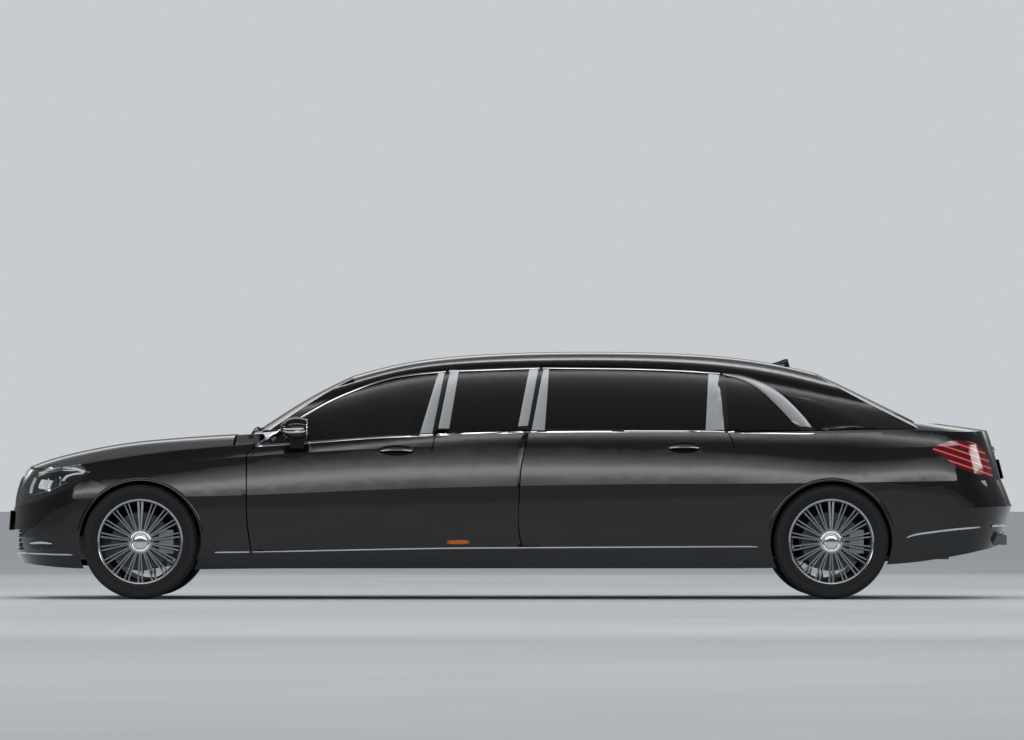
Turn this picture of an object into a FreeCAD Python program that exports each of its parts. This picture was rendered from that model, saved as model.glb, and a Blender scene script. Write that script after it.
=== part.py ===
import FreeCAD, Part
import math
import os
from FreeCAD import Vector

# Driving dimensions in millimetres. X runs from nose to tail, Y to the car's right, Z up from the road.
wheelbase = 4418.0
front_overhang = 876.0
rear_overhang = 1205.0
width = 1899.0
height = 1598.0
track = 1624.0
tyre_diameter = 737.5
tyre_width = 255.0
rim_diameter = 551.0
rim_lip = 14.0
tyre_lap = 2.0
hub_depth = 60.0
rim_dish = 30.0
spoke_pairs = 18
spoke_width = 9.0
spoke_spread = 26.0
spoke_depth = 26.0
hub_cap_diameter = 145.0
hub_diameter = 160.0
disc_diameter = 375.0
disc_thickness = 32.0
arch_radius = 388.0

# Panels
panel_gap = 7.0
flange = 10.0
seat_gap = 0.9
box_inset = 30.0
aperture_inset = 12.0
door_thickness = 95.0
side_thickness = 100.0
fender_thickness = 60.0
pillar_thickness = 45.0
bonnet_thickness = 26.0
bonnet_margin = 16.0
lid_thickness = 30.0
gutter_width = 24.0
gutter_thickness = 12.0
shut_gap = 6.0
cowl_gap = 14.0
cowl_door_side = 800.0
glass_thickness = 4.8
glass_depth = 4.6
glass_seat = 9.0
hinge_setback = 60.0
hinge_depth = 8.0
overrun = 400.0
belt_lap = 20.0
roof_half = 600.0
touch = 1.0

# Floor and inner structure
floor_height = 200.0
floor_thickness = 30.0
floor_half = 855.0
tunnel_half = 172.0
tunnel_height = 120.0
sheet = 20.0
apron_half = 455.0
wheel_tub_clearance = 26.0

# Structure, seats and running gear
shelf_height = 800.0
rail_low = 400.0
rail_width = 75.0
beam_height = 80.0
beam_low = 458.0
nose_offset = 130.0
beam_depth = 90.0
beam_half = 500.0
boot_floor_height = 470.0
tail_beam_half = 390.0
pillar_side = 745.0
pillar_reach = 130.0
pillar_depth = 50.0
boot_half = 660.0
bulkhead_height = 985.0
rear_bulkhead_height = 1030.0
shelf_wall_half = 560.0
shelf_wall_height = 1112.0
front_house_clearance = 75.0
dash_depth = 390.0
dash_low = 640.0
dash_height = 380.0
dash_half = 745.0
console_length = 900.0
console_half = 115.0
steering_radius = 182.0
steering_grip = 14.0
column_rake = 24.0
column_length = 250.0
column_radius = 34.0
hub_gap = 14.6
seat_width = 540.0
seat_depth = 500.0
seat_side = 400.0
cushion_low = 150.0
cushion_thickness = 110.0
back_height = 830.0
back_thickness = 130.0
back_rake = 120.0
headrest_height = 190.0
partition_lean = 100.0
partition_lap = 70.0
partition_post_half = 700.0
partition_window_half = 560.0
mirror_length = 213.0
mirror_width = 180.0
mirror_height = 150.0
mirror_reach = 25.0
mirror_arm = 90.0
mirror_foot = 70.0
swing_clearance = 5.0
engine_length = 860.0
engine_half = 300.0
engine_low = 250.0
engine_height = 580.0
gearbox_half = 150.0
kingpin_offset = 35.0
upright_width = 60.0
upright_low = 118.0
upright_high = 170.0
disc_inset = 60.0
stub_radius = 28.0
stub_length = 40.0
stub_clearance = 0.5
hub_clearance = 6.0
disc_clearance = 6.0
calliper_depth = 70.0
calliper_wrap = 22.0
calliper_side = 26.0
calliper_half = 75.0
cross_half = 150.0
cross_low = 205.0
rear_cross_low = 300.0
arm_half = 42.0
arm_thickness = 32.0
arm_gap = 0.4
drive_half = 78.0
hanger_side = 165.0
prop_radius = 26.0
prop_height = 290.0
shaft_radius = 20.0
pipe_radius = 24.0
pipe_side = 112.0
pipe_height = 262.0
silencer_lift = 42.0
tip_gap = 5.0
silencer_length = 300.0
silencer_half = 600.0
silencer_height = 100.0
tip_half = 95.0
tip_thickness = 62.0
tip_side = 500.0
grille_frame = 26.0
louvre_count = 4
louvre_height = 16.0
louvre_setback = 14.0
grille_net = 6.0
rim_width_share = 0.8
rim_offset_share = 0.4
engine_bay_share = 0.166
boot_bulkhead_share = 0.11
steering_share = 0.2675
steering_height_share = 0.612
front_seat_share = 0.3652
jump_seat_share = 0.5033
partition_share = 0.4335
seat_base_share = 0.12
seat_base_width_share = 0.8
back_width_share = 0.94
headrest_width_share = 0.5
back_foot_share = 0.06
back_rear_share = 0.8
headrest_rear_share = 0.7
headrest_front_share = 0.1
headrest_rake_share = 1.15
dash_foot_share = 0.8
dash_knee_share = 0.92
dash_knee_height_share = 0.35
dash_lip_height_share = 0.45
dash_face_share = 0.9
dash_face_height_share = 0.8
dash_top_share = 0.62
wheel_hub_share = 0.3
spoke_reach_share = 0.92
tyre_section_shares = [(0.78, 0), (0.93, 0.22), (1, 0.5), (0.97, 0.75), (0.84, 0.95), (0.7, 1)]
rim_step_share = 1.6
rim_barrel_share = 2.0
spoke_end_share = 1.2
cap_rise_share = 0.3
carrier_share = 0.8
mirror_cut_share = 0.3
mirror_arm_low_share = 0.85
mirror_arm_high_share = 0.3
nose_zone_share = -0.5
tail_zone_share = 1.5
quarter_start_share = 0.86

length = front_overhang + wheelbase + rear_overhang
half_width = width / 2
nose = -length / 2
front_axle = nose + front_overhang
rear_axle = front_axle + wheelbase
axle_height = tyre_diameter / 2
wheel_side = track / 2
rim_face = rim_dish * rim_offset_share - tyre_width / 2 * rim_width_share
disc_face = rim_face + disc_inset
disc_back = disc_face + disc_thickness
front_bulkhead = front_axle + engine_bay_share * wheelbase
rear_bulkhead = rear_axle - boot_bulkhead_share * wheelbase
nose_beam = nose + nose_offset
tail_beam = nose + length - nose_offset - beam_depth
engine_front = front_axle - engine_length / 2
silencer_front = rear_axle + tyre_diameter / 2 + overrun / 4
steering_x = front_axle + steering_share * wheelbase
steering_y = -seat_side
steering_z = steering_height_share * height
front_seat_x = front_axle + front_seat_share * wheelbase
jump_seat_x = front_axle + jump_seat_share * wheelbase
rear_seat_x = rear_bulkhead - back_rake - back_thickness
partition_x = front_axle + partition_share * wheelbase

# Side lines of the body: share of length (-1 nose, 0 front axle, 1 rear axle, 2 tail), then share of height
bottom_line_shares = [
    (-0.9344, 0.1489), (-0.8522, 0.1414), (-0.6707, 0.1302), (-0.4446, 0.1214), (-0.0303, 0.1189),
    (0.0963, 0.1151), (0.1524, 0.1239), (0.9112, 0.1239), (0.9999, 0.1283), (1.3141, 0.1364),
    (1.5938, 0.1615), (1.9307, 0.2153)]
lower_line_shares = [
    (-1, 0.2503), (-0.4412, 0.2441), (0.1108, 0.2322), (0.2548, 0.2422), (0.4127, 0.2553),
    (0.5488, 0.2722), (0.6941, 0.2897), (0.752, 0.2954), (0.8573, 0.3054), (0.9184, 0.3154),
    (1.2992, 0.3479), (2, 0.3755)]
middle_line_shares = [
    (-0.98, 0.4005), (-0.601, 0.4005), (0.0001, 0.4099), (0.1527, 0.4143), (0.2548, 0.4312),
    (0.413, 0.4462), (0.551, 0.4556), (0.752, 0.4625), (0.8618, 0.4625), (0.9999, 0.4662), (1.5, 0.4725),
    (1.9456, 0.4768)]
shoulder_line_shares = [
    (-0.9389, 0.4819), (-0.6079, 0.4944), (-0.3659, 0.51), (0.0001, 0.5319), (0.0868, 0.5569),
    (0.1545, 0.5738), (0.2523, 0.5945), (0.4213, 0.6133), (0.5583, 0.6183), (0.752, 0.6183),
    (0.8596, 0.6164), (1.2568, 0.6064), (1.5365, 0.6101), (1.89, 0.6258)]
brow_line_shares = [
    (-0.8065, 0.5663), (-0.6079, 0.5726), (-0.2997, 0.5882), (0.0001, 0.6039), (0.0868, 0.632),
    (0.1545, 0.6483), (0.4225, 0.6884), (0.563, 0.7015), (0.752, 0.7028), (0.9519, 0.6959),
    (1.2726, 0.704), (1.71, 0.7071), (1.8427, 0.7134)]
belt_line_shares = [
    (0.1545, 0.6008), (0.1658, 0.6095), (0.4225, 0.6564), (0.563, 0.6696), (0.752, 0.6708),
    (0.9519, 0.664), (1.2726, 0.6696)]

# Half widths of those lines, as shares of half the width
bottom_half_shares = [
    (-0.2997, 0.8973), (0.0001, 0.9268), (0.1524, 0.9437), (0.9112, 0.9479), (0.9999, 0.9373),
    (1.5, 0.8952)]
lower_half_shares = [
    (-0.2997, 0.9531), (0.0001, 0.9795), (0.1524, 0.9858), (0.4241, 0.9889), (0.9112, 0.99),
    (0.9999, 0.9879), (1.5, 0.9563)]
middle_half_shares = [
    (-0.2997, 0.9637), (0.0001, 0.991), (0.1524, 0.9974), (0.4501, 1), (0.9401, 1), (1.0602, 0.9963),
    (1.5, 0.9637)]
shoulder_half_shares = [
    (-0.2997, 0.9352), (0.0001, 0.9531), (0.1524, 0.9584), (0.4241, 0.9626), (0.8596, 0.9626),
    (0.9999, 0.9563), (1.5, 0.9268)]
brow_half_shares = [
    (-0.2997, 0.832), (0.0001, 0.8489), (0.1524, 0.8636), (0.4241, 0.891), (0.8596, 0.891),
    (0.9999, 0.8826), (1.5, 0.832)]

# Where the net of the body side has its columns: round the nose, along the side, round the tail
corner_turn_shares = [0, 0.17, 0.34, 0.5, 0.66, 0.83]
side_column_shares = [-0.3, -0.12, 0.04, 0.155, 0.3, 0.45, 0.6, 0.75, 0.86, 0.94, 1.06, 1.22, 1.42, 1.5]
nose_roundness = 2.5
tail_roundness = 3.0
bottom_bulge = 14.0
lower_bulge = 5.0
middle_bulge = 9.0
shoulder_bulge = 12.0

# Top surfaces: centre and edge lines, and the crown between them (share of half width, share of the drop)
bonnet_centre_shares = [
    (-1.0576, 0.4869), (-0.8704, 0.53), (-0.7688, 0.5544), (-0.5987, 0.582), (-0.3567, 0.6108),
    (-0.1147, 0.6333), (0.0255, 0.6464), (0.0734, 0.6558), (0.1165, 0.664), (0.1751, 0.6708)]
bonnet_edge_shares = [
    (-1.0576, 0.4068), (-0.8704, 0.4456), (-0.6079, 0.4994), (-0.2997, 0.5419), (0.0001, 0.5663),
    (0.0868, 0.5945), (0.1545, 0.6108), (0.1751, 0.6158)]
deck_centre_shares = [
    (0.8541, 0.7071), (1.212, 0.7322), (1.4618, 0.7234), (1.5938, 0.7078), (1.7697, 0.6902),
    (1.8593, 0.6796), (2.0419, 0.6608)]
deck_edge_shares = [
    (0.8541, 0.6621), (0.9519, 0.664), (1.2726, 0.6696), (1.544, 0.6633), (1.8593, 0.6508),
    (2.0419, 0.6333)]
crown_shares = [(0, 0), (0.25, 0.03), (0.48, 0.13), (0.62, 0.3), (0.82, 0.62), (0.96, 1), (1.06, 1.3)]

# Cabin: belt, window top and roof centre lines, then its half widths
cabin_station_shares = [
    -0.2, 0.02, 0.14, 0.23, 0.31, 0.38, 0.46, 0.56, 0.68, 0.78, 0.86, 0.94, 1.02, 1.2, 1.4, 1.6]
window_top_shares = [
    (-1.012, 0.5632), (0.02, 0.632), (0.1549, 0.7071), (0.2305, 0.7791), (0.3084, 0.8461),
    (0.3625, 0.8936), (0.4093, 0.9124), (0.4573, 0.9237), (0.5379, 0.9318), (0.6821, 0.9337),
    (0.752, 0.9305), (0.8428, 0.9143), (0.886, 0.8949), (0.9508, 0.8573), (1.129, 0.8073),
    (1.544, 0.7447)]
roof_centre_shares = [
    (-1.012, 0.6508), (0.02, 0.7009), (0.1549, 0.7728), (0.2305, 0.8417), (0.3084, 0.9068),
    (0.3374, 0.9355), (0.3614, 0.9524), (0.4093, 0.9737), (0.4573, 0.9856), (0.5053, 0.9931),
    (0.5379, 0.9987), (0.5861, 1.0016), (0.6821, 1.0022), (0.7554, 0.9994), (0.8261, 0.9887),
    (0.874, 0.9781), (0.922, 0.9593), (0.9748, 0.9212), (1.129, 0.8748), (1.544, 0.8073)]
cabin_half_shares = [
    (-1.012, 0.8425), (0.1549, 0.9036), (0.2656, 0.9121), (0.4241, 0.9142), (0.8428, 0.9142),
    (0.9773, 0.8931), (1.2726, 0.8489), (1.544, 0.811)]
cabin_lean_share = 0.367
rail_rise = 48.0
rail_inset = 58.0
roof_edge_drop = 22.0
roof_edge_share = 0.8
roof_mid_share = 0.4
roof_mid_drop = 5.0

# Windscreen and rear window: centre lines, and how far their edges are swept back
windscreen_shares = [
    (0.1298, 0.6164), (0.1434, 0.6414), (0.1549, 0.6627), (0.1692, 0.6902), (0.1934, 0.7334),
    (0.2174, 0.7766), (0.2414, 0.816), (0.2652, 0.8511), (0.2894, 0.8836), (0.3084, 0.9074),
    (0.3426, 0.9543), (0.3878, 1.0263)]
backlight_shares = [
    (0.8994, 1.0513), (0.9447, 0.9793), (0.9748, 0.9212), (1.066, 0.8705), (1.2419, 0.8035),
    (1.4178, 0.7384), (1.4942, 0.7103), (1.5772, 0.679)]
screen_sweep = 125.0
backlight_sweep = 150.0
screen_half = 900.0
screen_glass_shares = [(0, 0.6708), (0.832, 0.6809), (0.6898, 0.8855), (0, 0.8986)]
backlight_glass_shares = [(0, 0.7397), (0.7372, 0.7484), (0.5898, 0.8917), (0, 0.9061)]
screen_frame = 24.0

# Outlines seen from the side
door_front_top_shares = [
    (0.1642, 0.6045), (0.2305, 0.7284), (0.2787, 0.8048), (0.3265, 0.8611), (0.3625, 0.8905),
    (0.3985, 0.9074), (0.4447, 0.918)]
door_front_rear_shares = [
    (0.4447, 0.918), (0.4256, 0.6539), (0.4179, 0.5538), (0.4136, 0.4737), (0.4125, 0.3748),
    (0.4125, 0.2641), (0.4173, 0.2115)]
door_front_fore_shares = [
    (0.161, 0.1977), (0.1563, 0.2885), (0.152, 0.4581), (0.1545, 0.5738), (0.1642, 0.6045)]
door_rear_fore_shares = [
    (0.5531, 0.2146), (0.5488, 0.2722), (0.5481, 0.3748), (0.5499, 0.4543), (0.5535, 0.5538),
    (0.5594, 0.6264), (0.563, 0.6727), (0.5805, 0.9337)]
door_rear_top_shares = [(0.5805, 0.9337), (0.752, 0.9243), (0.8188, 0.9118), (0.8423, 0.9055)]
door_rear_rear_shares = [
    (0.8423, 0.9055), (0.8489, 0.6758), (0.8596, 0.6064), (0.8627, 0.5601), (0.8634, 0.5069),
    (0.862, 0.408), (0.8573, 0.3154), (0.8512, 0.219)]
window_front_shares = [
    [(0.1785, 0.6283), (0.2305, 0.7196), (0.2787, 0.7947), (0.3265, 0.8511), (0.3625, 0.8811),
    (0.3985, 0.8974), (0.4309, 0.9049)], [(0.4309, 0.9049), (0.4041, 0.6671)], [(0.4041, 0.6671),
    (0.2996, 0.6527), (0.1785, 0.6283)]]
window_middle_shares = [
    [(0.461, 0.9124), (0.5626, 0.9212)], [(0.5626, 0.9212), (0.5449, 0.6809)], [(0.5449, 0.6809),
    (0.4462, 0.6733)], [(0.4462, 0.6733), (0.461, 0.9124)]]
window_rear_shares = [
    [(0.5922, 0.9218), (0.7183, 0.9186), (0.8229, 0.9036)], [(0.8229, 0.9036), (0.8179, 0.6809)],
    [(0.8179, 0.6809), (0.5857, 0.6821)], [(0.5857, 0.6821), (0.5922, 0.9218)]]
window_quarter_shares = [
    [(0.8482, 0.8949), (0.874, 0.8761), (0.8978, 0.8373), (0.917, 0.7885), (0.9388, 0.7259),
    (0.9533, 0.6809)], [(0.9533, 0.6809), (0.8514, 0.6809)], [(0.8514, 0.6809), (0.8482, 0.8949)]]
headlamp_shares = [
    [(-0.8602, 0.3792), (-0.7734, 0.3911), (-0.6707, 0.4111), (-0.5108, 0.4468), (-0.4013, 0.49),
    (-0.3659, 0.5119)], [(-0.3659, 0.5119), (-0.4195, 0.5319), (-0.4812, 0.5632)], [(-0.4812, 0.5632),
    (-1.1718, 0.5632)], [(-1.1718, 0.5632), (-1.1718, 0.3504)], [(-1.1718, 0.3504), (-0.8602, 0.3792)]]
bumper_front_top_shares = [
    (-1.1718, 0.3479), (-0.8784, 0.3592), (-0.6707, 0.3867), (-0.5576, 0.4205), (-0.4013, 0.4875)]
bumper_front_rear_shares = [(-0.4013, 0.4875), (-0.2586, 0.4556)]
bumper_rear_top_shares = [
    (1.2286, 0.4274), (1.4477, 0.4474), (1.6228, 0.4656), (1.6975, 0.4856), (1.8701, 0.4793),
    (2.1249, 0.4781)]
tail_lamp_shares = [
    [(1.5332, 0.5964), (1.573, 0.6195), (1.6228, 0.632), (1.71, 0.6345), (1.7846, 0.6195),
    (1.8303, 0.582), (1.8701, 0.4831)], [(1.8701, 0.4831), (1.7888, 0.5006), (1.6975, 0.5207),
    (1.6228, 0.5569), (1.5332, 0.5964)]]
tail_lamp_half_share = 0.62
grille_half = 352.0
grille_low_share = 0.3504
grille_high_share = 0.5232
headlamp_inner_half = 425.0
intake_low_share = 0.1952
intake_high_share = 0.2785
intake_half = 560.0
cowl_share = 0.1337
frame_split_share = 0.863
shelf_half_share = 0.72
deck_side_share = 0.86
cowl_half_share = 0.87
mirror_share = 0.2271
mirror_height_share = 0.6834
partition_belt_share = 0.6508
partition_top_share = 0.8886
tip_start_share = 1.8261
tip_end_share = 1.9473
tip_height_share = 0.2365
lid_front_share = 1.4618
lid_half_shares = [(1.4618, 0.7267), (1.71, 0.7414), (1.8593, 0.7267)]
lid_rear_shares = [(0.5898, 0.4806), (0.6214, 0.5632), (0.674, 0.632), (0.7267, 0.6821)]


def along(share):
    # Lengthwise place: the overhangs and the wheelbase each stretch by themselves
    if share < 0:
        return front_axle + share * front_overhang
    if share > 1:
        return rear_axle + (share - 1) * rear_overhang
    return front_axle + share * wheelbase


def level(share):
    return share * height


def across(share):
    return share * half_width


def side_points(shares):
    return [(along(s), level(h)) for s, h in shares]


def half_points(shares):
    return [(along(s), across(h)) for s, h in shares]


def front_points(shares):
    return [(across(w), level(h)) for w, h in shares]


def follow(points, x):
    # Value of a line of (place, value) points at x, level beyond its ends
    if x <= points[0][0]:
        return points[0][1]
    for (x0, v0), (x1, v1) in zip(points, points[1:]):
        if x <= x1:
            return v0 + (v1 - v0) * (x - x0) / (x1 - x0)
    return points[-1][1]


def knots(count, degree):
    inner = count - degree
    return list(range(inner + 1)), [degree + 1] + [1] * (inner - 1) + [degree + 1]


def patch(net):
    # Smooth face over a net of control points
    degree_u = min(3, len(net) - 1)
    degree_v = min(3, len(net[0]) - 1)
    knots_u, mults_u = knots(len(net), degree_u)
    knots_v, mults_v = knots(len(net[0]), degree_v)
    surface = Part.BSplineSurface()
    surface.buildFromPolesMultsKnots(net, mults_u, mults_v, knots_u, knots_v, False, False, degree_u,
                                     degree_v)
    return surface.toShape()


def closed(faces):
    shell = Part.makeShell(faces)
    shell.sewShape()
    solid = Part.makeSolid(shell)
    if solid.Volume < 0:
        solid.reverse()
    return solid


def thick(outer, inner):
    # Solid between two stacks of nets that share their edges
    faces = []
    for a, b in zip(outer, inner):
        faces += [patch(a), patch(b)]
        faces.append(patch([[row[0] for row in a], [row[0] for row in b]]))
        faces.append(patch([[row[-1] for row in a], [row[-1] for row in b]]))
    faces.append(patch([outer[0][0], inner[0][0]]))
    faces.append(patch([outer[-1][-1], inner[-1][-1]]))
    return closed(faces)


def smooth(points):
    # Edge through the points: straight for two, else a curve
    if len(points) == 2:
        return Part.makeLine(points[0], points[1])
    curve = Part.BSplineCurve()
    curve.interpolate(points)
    return curve.toShape()


def grow(segments, distance):
    # Outline moved outwards by a distance, point by point, kept as the same segments
    loop = []
    for segment in segments:
        loop += segment[:-1]
    area = 0
    for (x0, z0), (x1, z1) in zip(loop, loop[1:] + loop[:1]):
        area += (x0 * z1 - x1 * z0) / 2
    turn = 1 if area > 0 else -1
    moved = []
    for index, (x, z) in enumerate(loop):
        px, pz = loop[index - 1]
        nx, nz = loop[(index + 1) % len(loop)]
        first = Vector(x - px, z - pz, 0).normalize()
        second = Vector(nx - x, nz - z, 0).normalize()
        normal = Vector((first + second).y, -(first + second).x, 0) * turn
        normal.normalize()
        edge = Vector(first.y, -first.x, 0) * turn
        reach = distance / max(normal.dot(edge), 0.5)
        moved.append((x + normal.x * reach, z + normal.y * reach))
    result = []
    start = 0
    for segment in segments:
        result.append([moved[(start + i) % len(moved)] for i in range(len(segment))])
        start += len(segment) - 1
    return result


def side_prism(segments, near, far):
    # Prism of an outline in the side view, between two distances left of the centre
    wire = Part.Wire([smooth([Vector(x, -far, z) for x, z in segment]) for segment in segments])
    return Part.Face(wire).extrude(Vector(0, far - near, 0))


def plan_prism(segments, low, high):
    wire = Part.Wire([smooth([Vector(x, y, low) for x, y in segment]) for segment in segments])
    return Part.Face(wire).extrude(Vector(0, 0, high - low))


def front_prism(segments, start, end):
    wire = Part.Wire([smooth([Vector(start, y, z) for y, z in segment]) for segment in segments])
    return Part.Face(wire).extrude(Vector(end - start, 0, 0))


def box(x0, x1, y0, y1, z0, z1):
    return Part.makeBox(x1 - x0, y1 - y0, z1 - z0, Vector(x0, y0, z0))


def tube(radius, start, end):
    return Part.makeCylinder(radius, (end - start).Length, start, end - start)


def mirrored(shape):
    return shape.mirror(Vector(0, 0, 0), Vector(0, 1, 0))


def joined(shapes):
    result = shapes[0]
    for shape in shapes[1:]:
        result = result.fuse(shape)
    return result


def both(shape):
    return Part.makeCompound([shape, mirrored(shape)])


def save(name, shape):
    shape.exportStep("parts/" + name + ".step")
    print(name, len(shape.Solids), shape.isValid())


# Body side

def body_columns():
    # Each column: how far round a corner it is, its place along, and the outward direction
    columns = []
    for share in corner_turn_shares:
        columns.append(("nose", share, along(side_column_shares[0])))
    for share in side_column_shares:
        columns.append(("side", 1, along(share)))
    for share in reversed(corner_turn_shares):
        columns.append(("tail", share, along(side_column_shares[-1])))
    return columns


def body_row(line, half, inset):
    # One row of control points round the left half of the body, moved inwards by the inset
    heights = side_points(line)
    halves = half_points(half)
    row = []
    for kind, share, x in body_columns():
        angle = share * math.pi / 2
        reach = follow(halves, x)
        if kind == "side":
            row.append(Vector(x, -reach + inset, follow(heights, x)))
            continue
        end, power = (heights[0][0], nose_roundness) if kind == "nose" else (heights[-1][0], tail_roundness)
        px = x + (end - x) * math.cos(angle) ** (2 / power)
        py = -reach * math.sin(angle) ** (2 / power)
        side = 1 if end > x else -1
        z = follow(heights, px)
        row.append(Vector(px - side * inset * math.cos(angle), py + inset * math.sin(angle), z))
    return row


def bulged(first, second, bulge):
    # Row half way between two rows, pushed outwards
    row = []
    for (kind, share, x), a, b in zip(body_columns(), first, second):
        angle = share * math.pi / 2
        ahead = {"nose": -math.cos(angle), "side": 0, "tail": math.cos(angle)}[kind]
        row.append((a + b) / 2 + Vector(ahead, -math.sin(angle), 0) * bulge)
    return row


def body_nets(inset):
    bottom = body_row(bottom_line_shares, bottom_half_shares, inset)
    lower = body_row(lower_line_shares, lower_half_shares, inset)
    middle = body_row(middle_line_shares, middle_half_shares, inset)
    shoulder = body_row(shoulder_line_shares, shoulder_half_shares, inset)
    brow = body_row(brow_line_shares, brow_half_shares, inset)
    return [[bottom, bulged(bottom, lower, bottom_bulge), lower],
            [lower, bulged(lower, middle, lower_bulge), middle],
            [middle, bulged(middle, shoulder, middle_bulge), shoulder],
            [shoulder, bulged(shoulder, brow, shoulder_bulge), brow]]


def body_wall(start, end):
    return thick(body_nets(start), body_nets(end))


def top_net(centre, edge, drop):
    # Control points of a bonnet or deck surface, whole width
    centre_line = side_points(centre)
    edge_line = side_points(edge)
    net = []
    for x, z in centre_line:
        fall = z - follow(edge_line, x)
        half = [Vector(x, across(w), z - fall * d - drop) for w, d in crown_shares]
        net.append([Vector(p.x, -p.y, p.z) for p in reversed(half[1:])] + half)
    return net


def top_wall(centre, edge, start, end):
    return thick([top_net(centre, edge, start)], [top_net(centre, edge, end)])


def cabin_net(inset):
    belt = side_points(belt_line_shares)
    tops = side_points(window_top_shares)
    roof = side_points(roof_centre_shares)
    halves = half_points(cabin_half_shares)
    net = []
    for share in cabin_station_shares:
        x = along(share)
        low = follow(belt, x)
        half = follow(halves, x) - inset
        top = follow(tops, x)
        centre = follow(roof, x) - inset
        lean = cabin_lean_share
        rail = half - lean * (top - low) - rail_inset
        points = [(half + lean * side_thickness, low - side_thickness), (half, low),
                  (half - lean * (top - low) / 2, (low + top) / 2), (half - lean * (top - low), top),
                  (rail + inset / 3, top + rail_rise - inset / 2),
                  (rail * roof_edge_share, centre - roof_edge_drop),
                  (rail * roof_mid_share, centre - roof_mid_drop), (0, centre)]
        left = [Vector(x, -y, z) for y, z in points]
        net.append(left + [Vector(x, y, z) for y, z in reversed(points[:-1])])
    return net


def cabin_side(start, end):
    # Wall of the cabin's left half
    half = len(cabin_net(0)[0]) // 2 + 1
    return thick([[row[:half] for row in cabin_net(start)]], [[row[:half] for row in cabin_net(end)]])


def cabin_solid(inset):
    outer = cabin_net(inset)
    low = level(belt_line_shares[0][1]) - overrun
    return thick([outer], [[[Vector(p.x, p.y, low) for p in row] for row in outer]])


def screen_net(shares, sweep, inset):
    # Curved pane: its edges lie further back than its middle
    rows = []
    for x, z in side_points(shares):
        row = []
        for step in range(-4, 5):
            y = screen_half * step / 4
            row.append(Vector(x + sweep * (step / 4) ** 2 + inset, y, z))
        rows.append(row)
    return rows





# Shared solids of the body shell

far = half_width + overrun
roof_over = height + overrun


def outline(*tables):
    return [side_points(table) for table in tables]


def left_half():
    return box(nose - overrun, -nose + overrun, -far, 0, -overrun, roof_over)


def between_screens(inset):
    ahead = patch(screen_net(windscreen_shares, screen_sweep, inset)).extrude(Vector(length, 0, 0))
    behind = patch(screen_net(backlight_shares, -backlight_sweep, -inset)).extrude(Vector(-length, 0, 0))
    return ahead.common(behind)


def below(centre, edge, drop):
    return patch(top_net(centre, edge, drop)).extrude(Vector(0, 0, -height))


def below_belt(drop):
    # Side view region under the belt line
    line = [(x, z - drop) for x, z in side_points(belt_line_shares)]
    first, last = line[0], line[-1]
    low = -overrun
    segments = [line, [last, (last[0], low)], [(last[0], low), (first[0], low)], [(first[0], low), first]]
    return side_prism(segments, 0, far)


def door_outline(*tables):
    # Closed outline from its edges, with a straight sill
    segments = outline(*tables)
    segments.append([segments[-1][-1], segments[0][0]])
    return segments


front_door = door_outline(door_front_fore_shares, door_front_top_shares, door_front_rear_shares)
rear_door = door_outline(door_rear_fore_shares, door_rear_top_shares, door_rear_rear_shares)
front_window = outline(*window_front_shares)
middle_window = outline(*window_middle_shares)
rear_window_side = outline(*window_rear_shares)
quarter_window = outline(*window_quarter_shares)

left = left_half()
belt_region = below_belt(0)
belt_lap_region = below_belt(belt_lap)
side_wall = body_wall(0, side_thickness)
side_zone = body_wall(-flange, flange + seat_gap)
cabin_zone = cabin_side(-flange, flange + seat_gap)
cabin_glass = cabin_side(glass_depth, glass_depth + glass_thickness)
cabin_inside = cabin_solid(pillar_thickness).common(between_screens(pillar_thickness))
cabin_shell = cabin_solid(0).common(between_screens(0)).cut(cabin_inside)


def through(segments, distance=0):
    return side_prism(grow(segments, distance) if distance else segments, half_width / 2, far)


def door_opening(shape, segments):
    wide = through(segments, panel_gap)
    opened = shape.cut(side_zone.common(wide)).cut(cabin_zone.common(wide))
    return opened.cut(through(segments, -aperture_inset))


def door_and_glass(segments, window):
    # Outer skin to the full outline, thick box behind it set in, window cut and its glass let in
    full = through(segments)
    inner = through(segments, -box_inset)
    inner_box = body_wall(0, door_thickness).common(inner)
    low = body_wall(0, flange).common(full).fuse(inner_box).common(belt_region)
    skin = cabin_side(0, flange).common(full)
    frame = cabin_side(0, pillar_thickness).common(inner).fuse(skin)
    glass = cabin_glass.common(through(window, glass_seat))
    panel = low.fuse(frame.cut(belt_lap_region)).cut(through(window)).cut(glass)
    return largest(panel), glass


def hinge_place(segments):
    # Hinge axis of a door, behind its front edge and just under its skin
    x = min(px for segment in segments for px, pz in segment) + hinge_setback
    halves = half_points(middle_half_shares)
    return x, hinge_depth - follow(halves, x)


def hinge_swing(segments):
    # Room behind the front edge of a door, which swings inwards ahead of the hinge axis
    x, y = hinge_place(segments)
    low = min(pz for segment in segments for px, pz in segment) - panel_gap
    belt = follow(side_points(belt_line_shares), x)
    radius = math.hypot(hinge_setback, hinge_depth) + swing_clearance
    return Part.makeCylinder(radius, belt - low, Vector(x, y, low))


def wheel_prism(x, radius):
    return tube(radius, Vector(x, -far, axle_height), Vector(x, far, axle_height))


def crest_row(inset):
    # Plan view of the line where the body side meets the bonnet, moved inwards
    shoulder = body_row(shoulder_line_shares, shoulder_half_shares, inset)
    brow = body_row(brow_line_shares, brow_half_shares, inset)
    centre = side_points(bonnet_centre_shares)
    edge = side_points(bonnet_edge_shares)
    row = []
    for a, b in zip(shoulder, brow):
        share = (a.y / half_width) ** 2
        target = follow(centre, a.x) * (1 - share) + follow(edge, a.x) * share
        t = min(max((target - a.z) / (b.z - a.z), 0), 1)
        row.append(a + (b - a) * t)
    return row


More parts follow.
